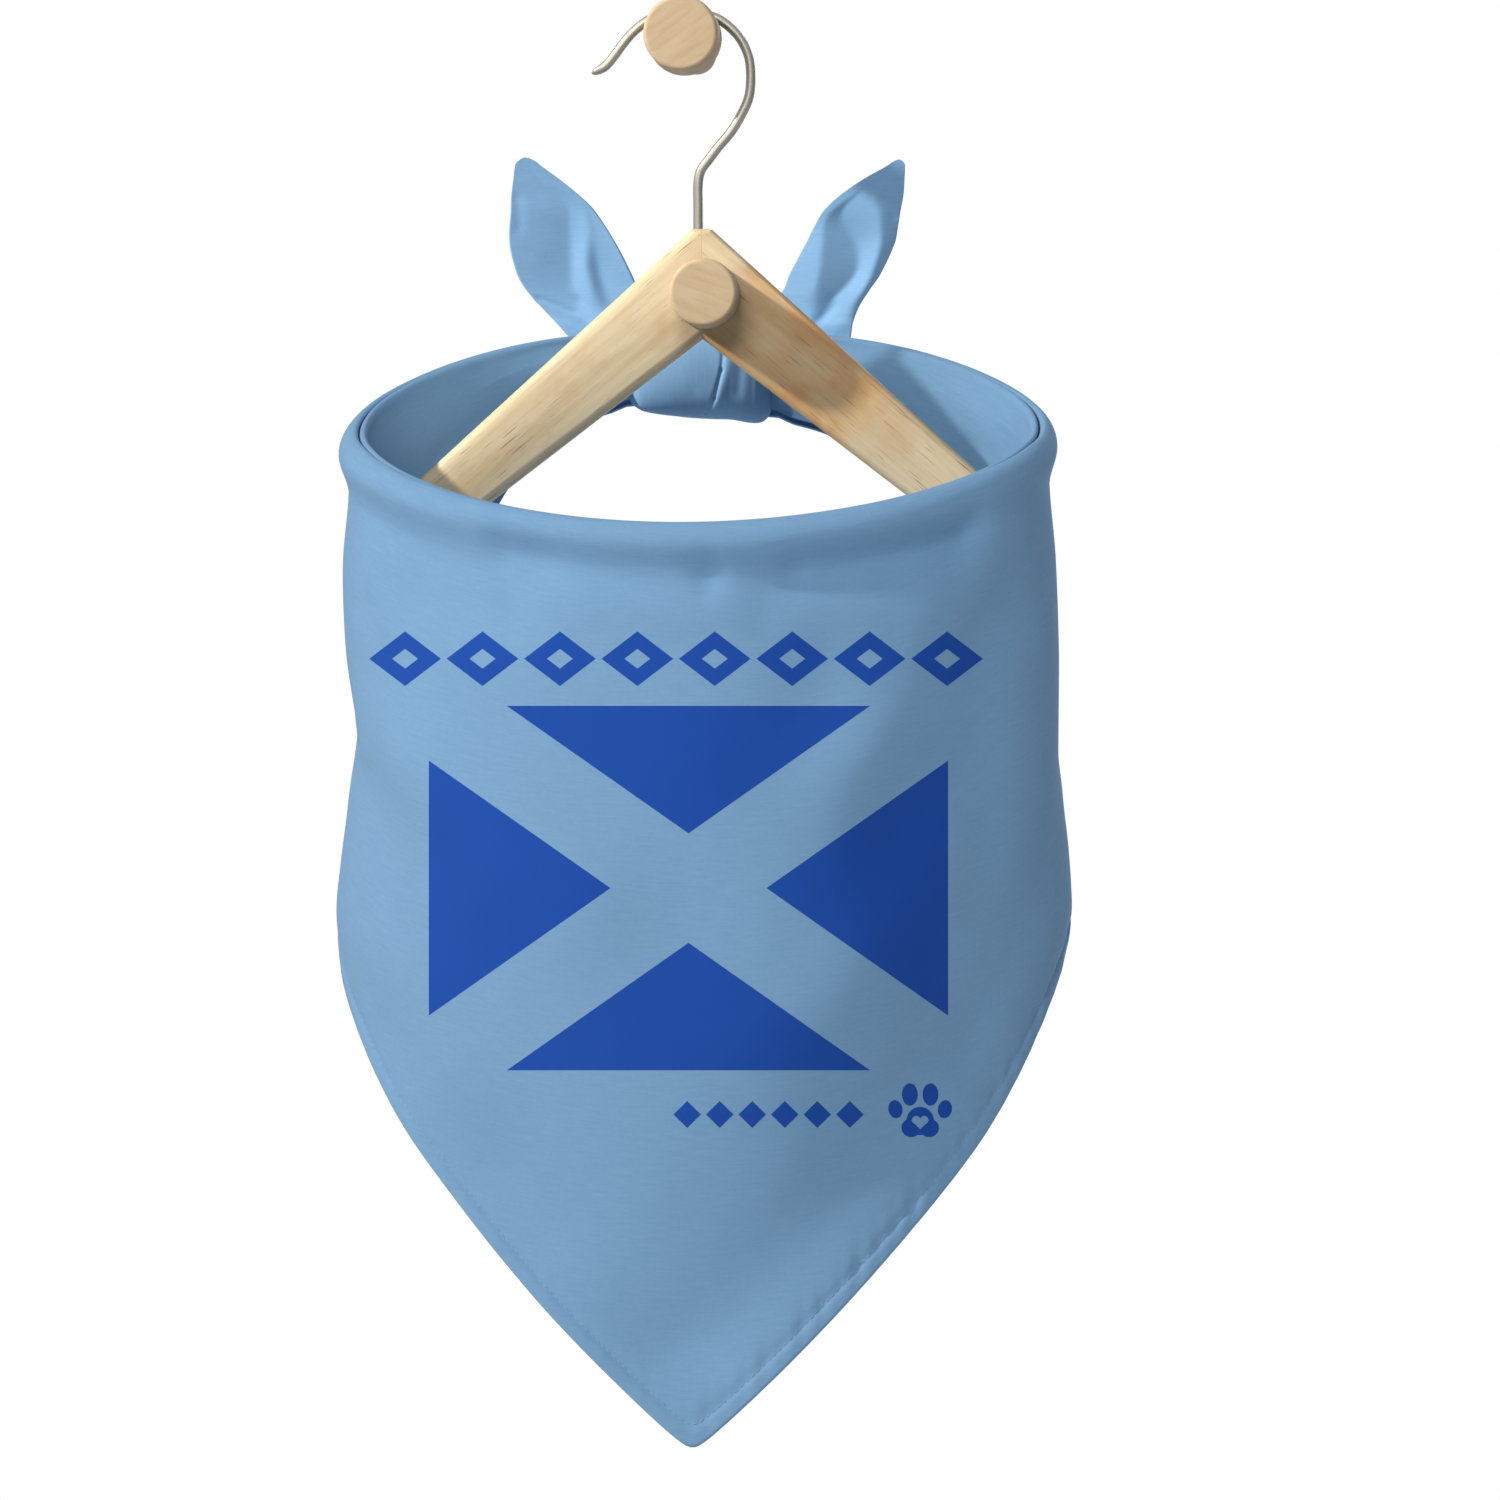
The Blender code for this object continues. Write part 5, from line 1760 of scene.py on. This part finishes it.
@dataclass
class WireHook:
    """The hanger's hook: one length of wire that screws into the apex, bends over the peg and ends free."""

    x: float = 6.1 * MM
    y: float = -66.0 * MM
    apex_z: float = -67.0 * MM
    wire_radius: float = 1.7 * MM
    round_steps: int = 13
    point_count: int = 200
    tip_points: int = 7

    # Right of the apex and above it, from the screwed-in foot to the free end.
    ROUTE: ClassVar = (
        (-1.5, -11.7), (-1.5, 0), (-1.5, 8), (-1.5, 16.3), (-0.6, 20.6), (2.4, 24.8), (5.6, 29), (10.3, 34.6),
        (13.7, 40.3), (16.3, 46.2), (17.1, 53), (16.5, 60.1), (14, 66.1), (9.8, 71), (4.3, 74.6),
        (-3.9, 76.2), (-11.5, 76.1), (-18.3, 74.2), (-24.2, 69.8), (-28.1, 65.4), (-31.5, 60.8),
        (-34.7, 57.3), (-39.1, 55),
    )

    def build(self, finish: Material) -> Object:
        """Makes the hook.

        Args:
            finish: The plated wire.

        Returns:
            The piece.
        """
        curve = bpy.data.curves.new("wire_hook", "CURVE")
        curve.dimensions = "3D"
        curve.bevel_depth = self.wire_radius
        curve.bevel_resolution = self.round_steps
        curve.use_fill_caps = True
        spline = curve.splines.new("POLY")
        spline.points.add(self.point_count - 1)
        for i, (x, z) in enumerate(curve_through(self.ROUTE, self.point_count) * MM):
            spline.points[i].co = (self.x + x, self.y, self.apex_z + z, 1.0)
            to_end = (self.point_count - 1 - i) / self.tip_points
            spline.points[i].radius = math.sqrt(max(1 - (1 - min(to_end, 1.0)) ** 2, 0.04))
        select_only(link("wire_hook", curve))
        bpy.ops.object.convert(target="MESH")
        obj = bpy.context.active_object
        bpy.ops.object.mode_set(mode="EDIT")
        bpy.ops.mesh.select_all(action="SELECT")
        bpy.ops.mesh.remove_doubles(threshold=0.01 * MM)
        bpy.ops.mesh.normals_make_consistent(inside=False)
        settle(obj, 50)
        return dress(obj, Slot.HOOK_STEEL, "hook", finish)


# ------------------------------------------------------------------------------------------------- main


def build_cloth(studio: Studio) -> list[Object]:
    """Args:
        studio: The studio, whose view the print is square to.

    Returns:
        The knot and its two ends, which stand in the accent light.
    """
    loop = ClothLoop()
    cotton = WovenCotton()
    plain = cotton.make("woven_cotton")
    drape_form = Drape(loop, studio)
    drape = drape_form.build(cotton.make("printed_cotton", Print()), plain)
    stitches = HemStitching(drape_form).build(SewingThread().make())
    turn_in = NeckTurnIn(loop).build(plain)
    knot_form = Knot(loop)
    knot = knot_form.build(plain)
    left_end, right_end = (TieEnd(knot_form, *tables).build(plain) for tables in (LEFT_EAR, RIGHT_EAR))
    return [left_end, right_end, knot]


def build_hanger() -> list[Object]:
    """Builds the hanger and the wall peg, and returns their wooden pieces."""
    beech, end_grain = BeechAlongGrain(), EndGrainBeech()
    pieces = []
    # The browner stretch on each arm is painted shadow: the cloth rim's on the left arm's lower end, the
    # dowel's on the right arm.
    for side, painted_shadow_span in ((Side.LEFT, (-220.0 * MM, -136.0 * MM)), (Side.RIGHT, (24.0 * MM, 86.0 * MM))):
        arm, name = HangerArm(side), f"{side.name.lower()}_arm"
        turn = (0.0, side.value * math.radians(40.0), 0.0)
        wood = beech.make(f"beech_{name}", (arm.x, arm.y, arm.apex_z), turn, painted_shadow_span)
        pieces.append(arm.build(name, f"hanger_{name}", wood))
    dowel_front = (7.8 * MM, -91.8 * MM, -90.4 * MM)
    dowel = TurnedPeg("front_dowel", "apex_dowel", Slot.HANGER_WOOD, dowel_front, 11.9 * MM, 20.0 * MM)
    pieces.append(dowel.build(end_grain.make("beech_dowel_end", dowel_front, math.radians(20))))
    peg_front = (0.0, -93.0 * MM, 0.0)
    peg = TurnedPeg(
        "round_wall_peg", "wall_peg", Slot.PEG_WOOD, peg_front, 13.1 * MM, 25.0 * MM,
        shaft_radius=7.2 * MM, shaft_length=68.0 * MM,
    )
    pieces.append(peg.build(end_grain.make("beech_peg_end", peg_front, math.radians(-35))))
    WireHook().build(NickelledWire().make())
    return pieces


def main() -> None:
    """Builds the scene round the frame."""
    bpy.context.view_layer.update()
    studio = Studio()
    studio.build()
    studio.accent(build_cloth(studio) + build_hanger())


if __name__ == "__main__":
    main()
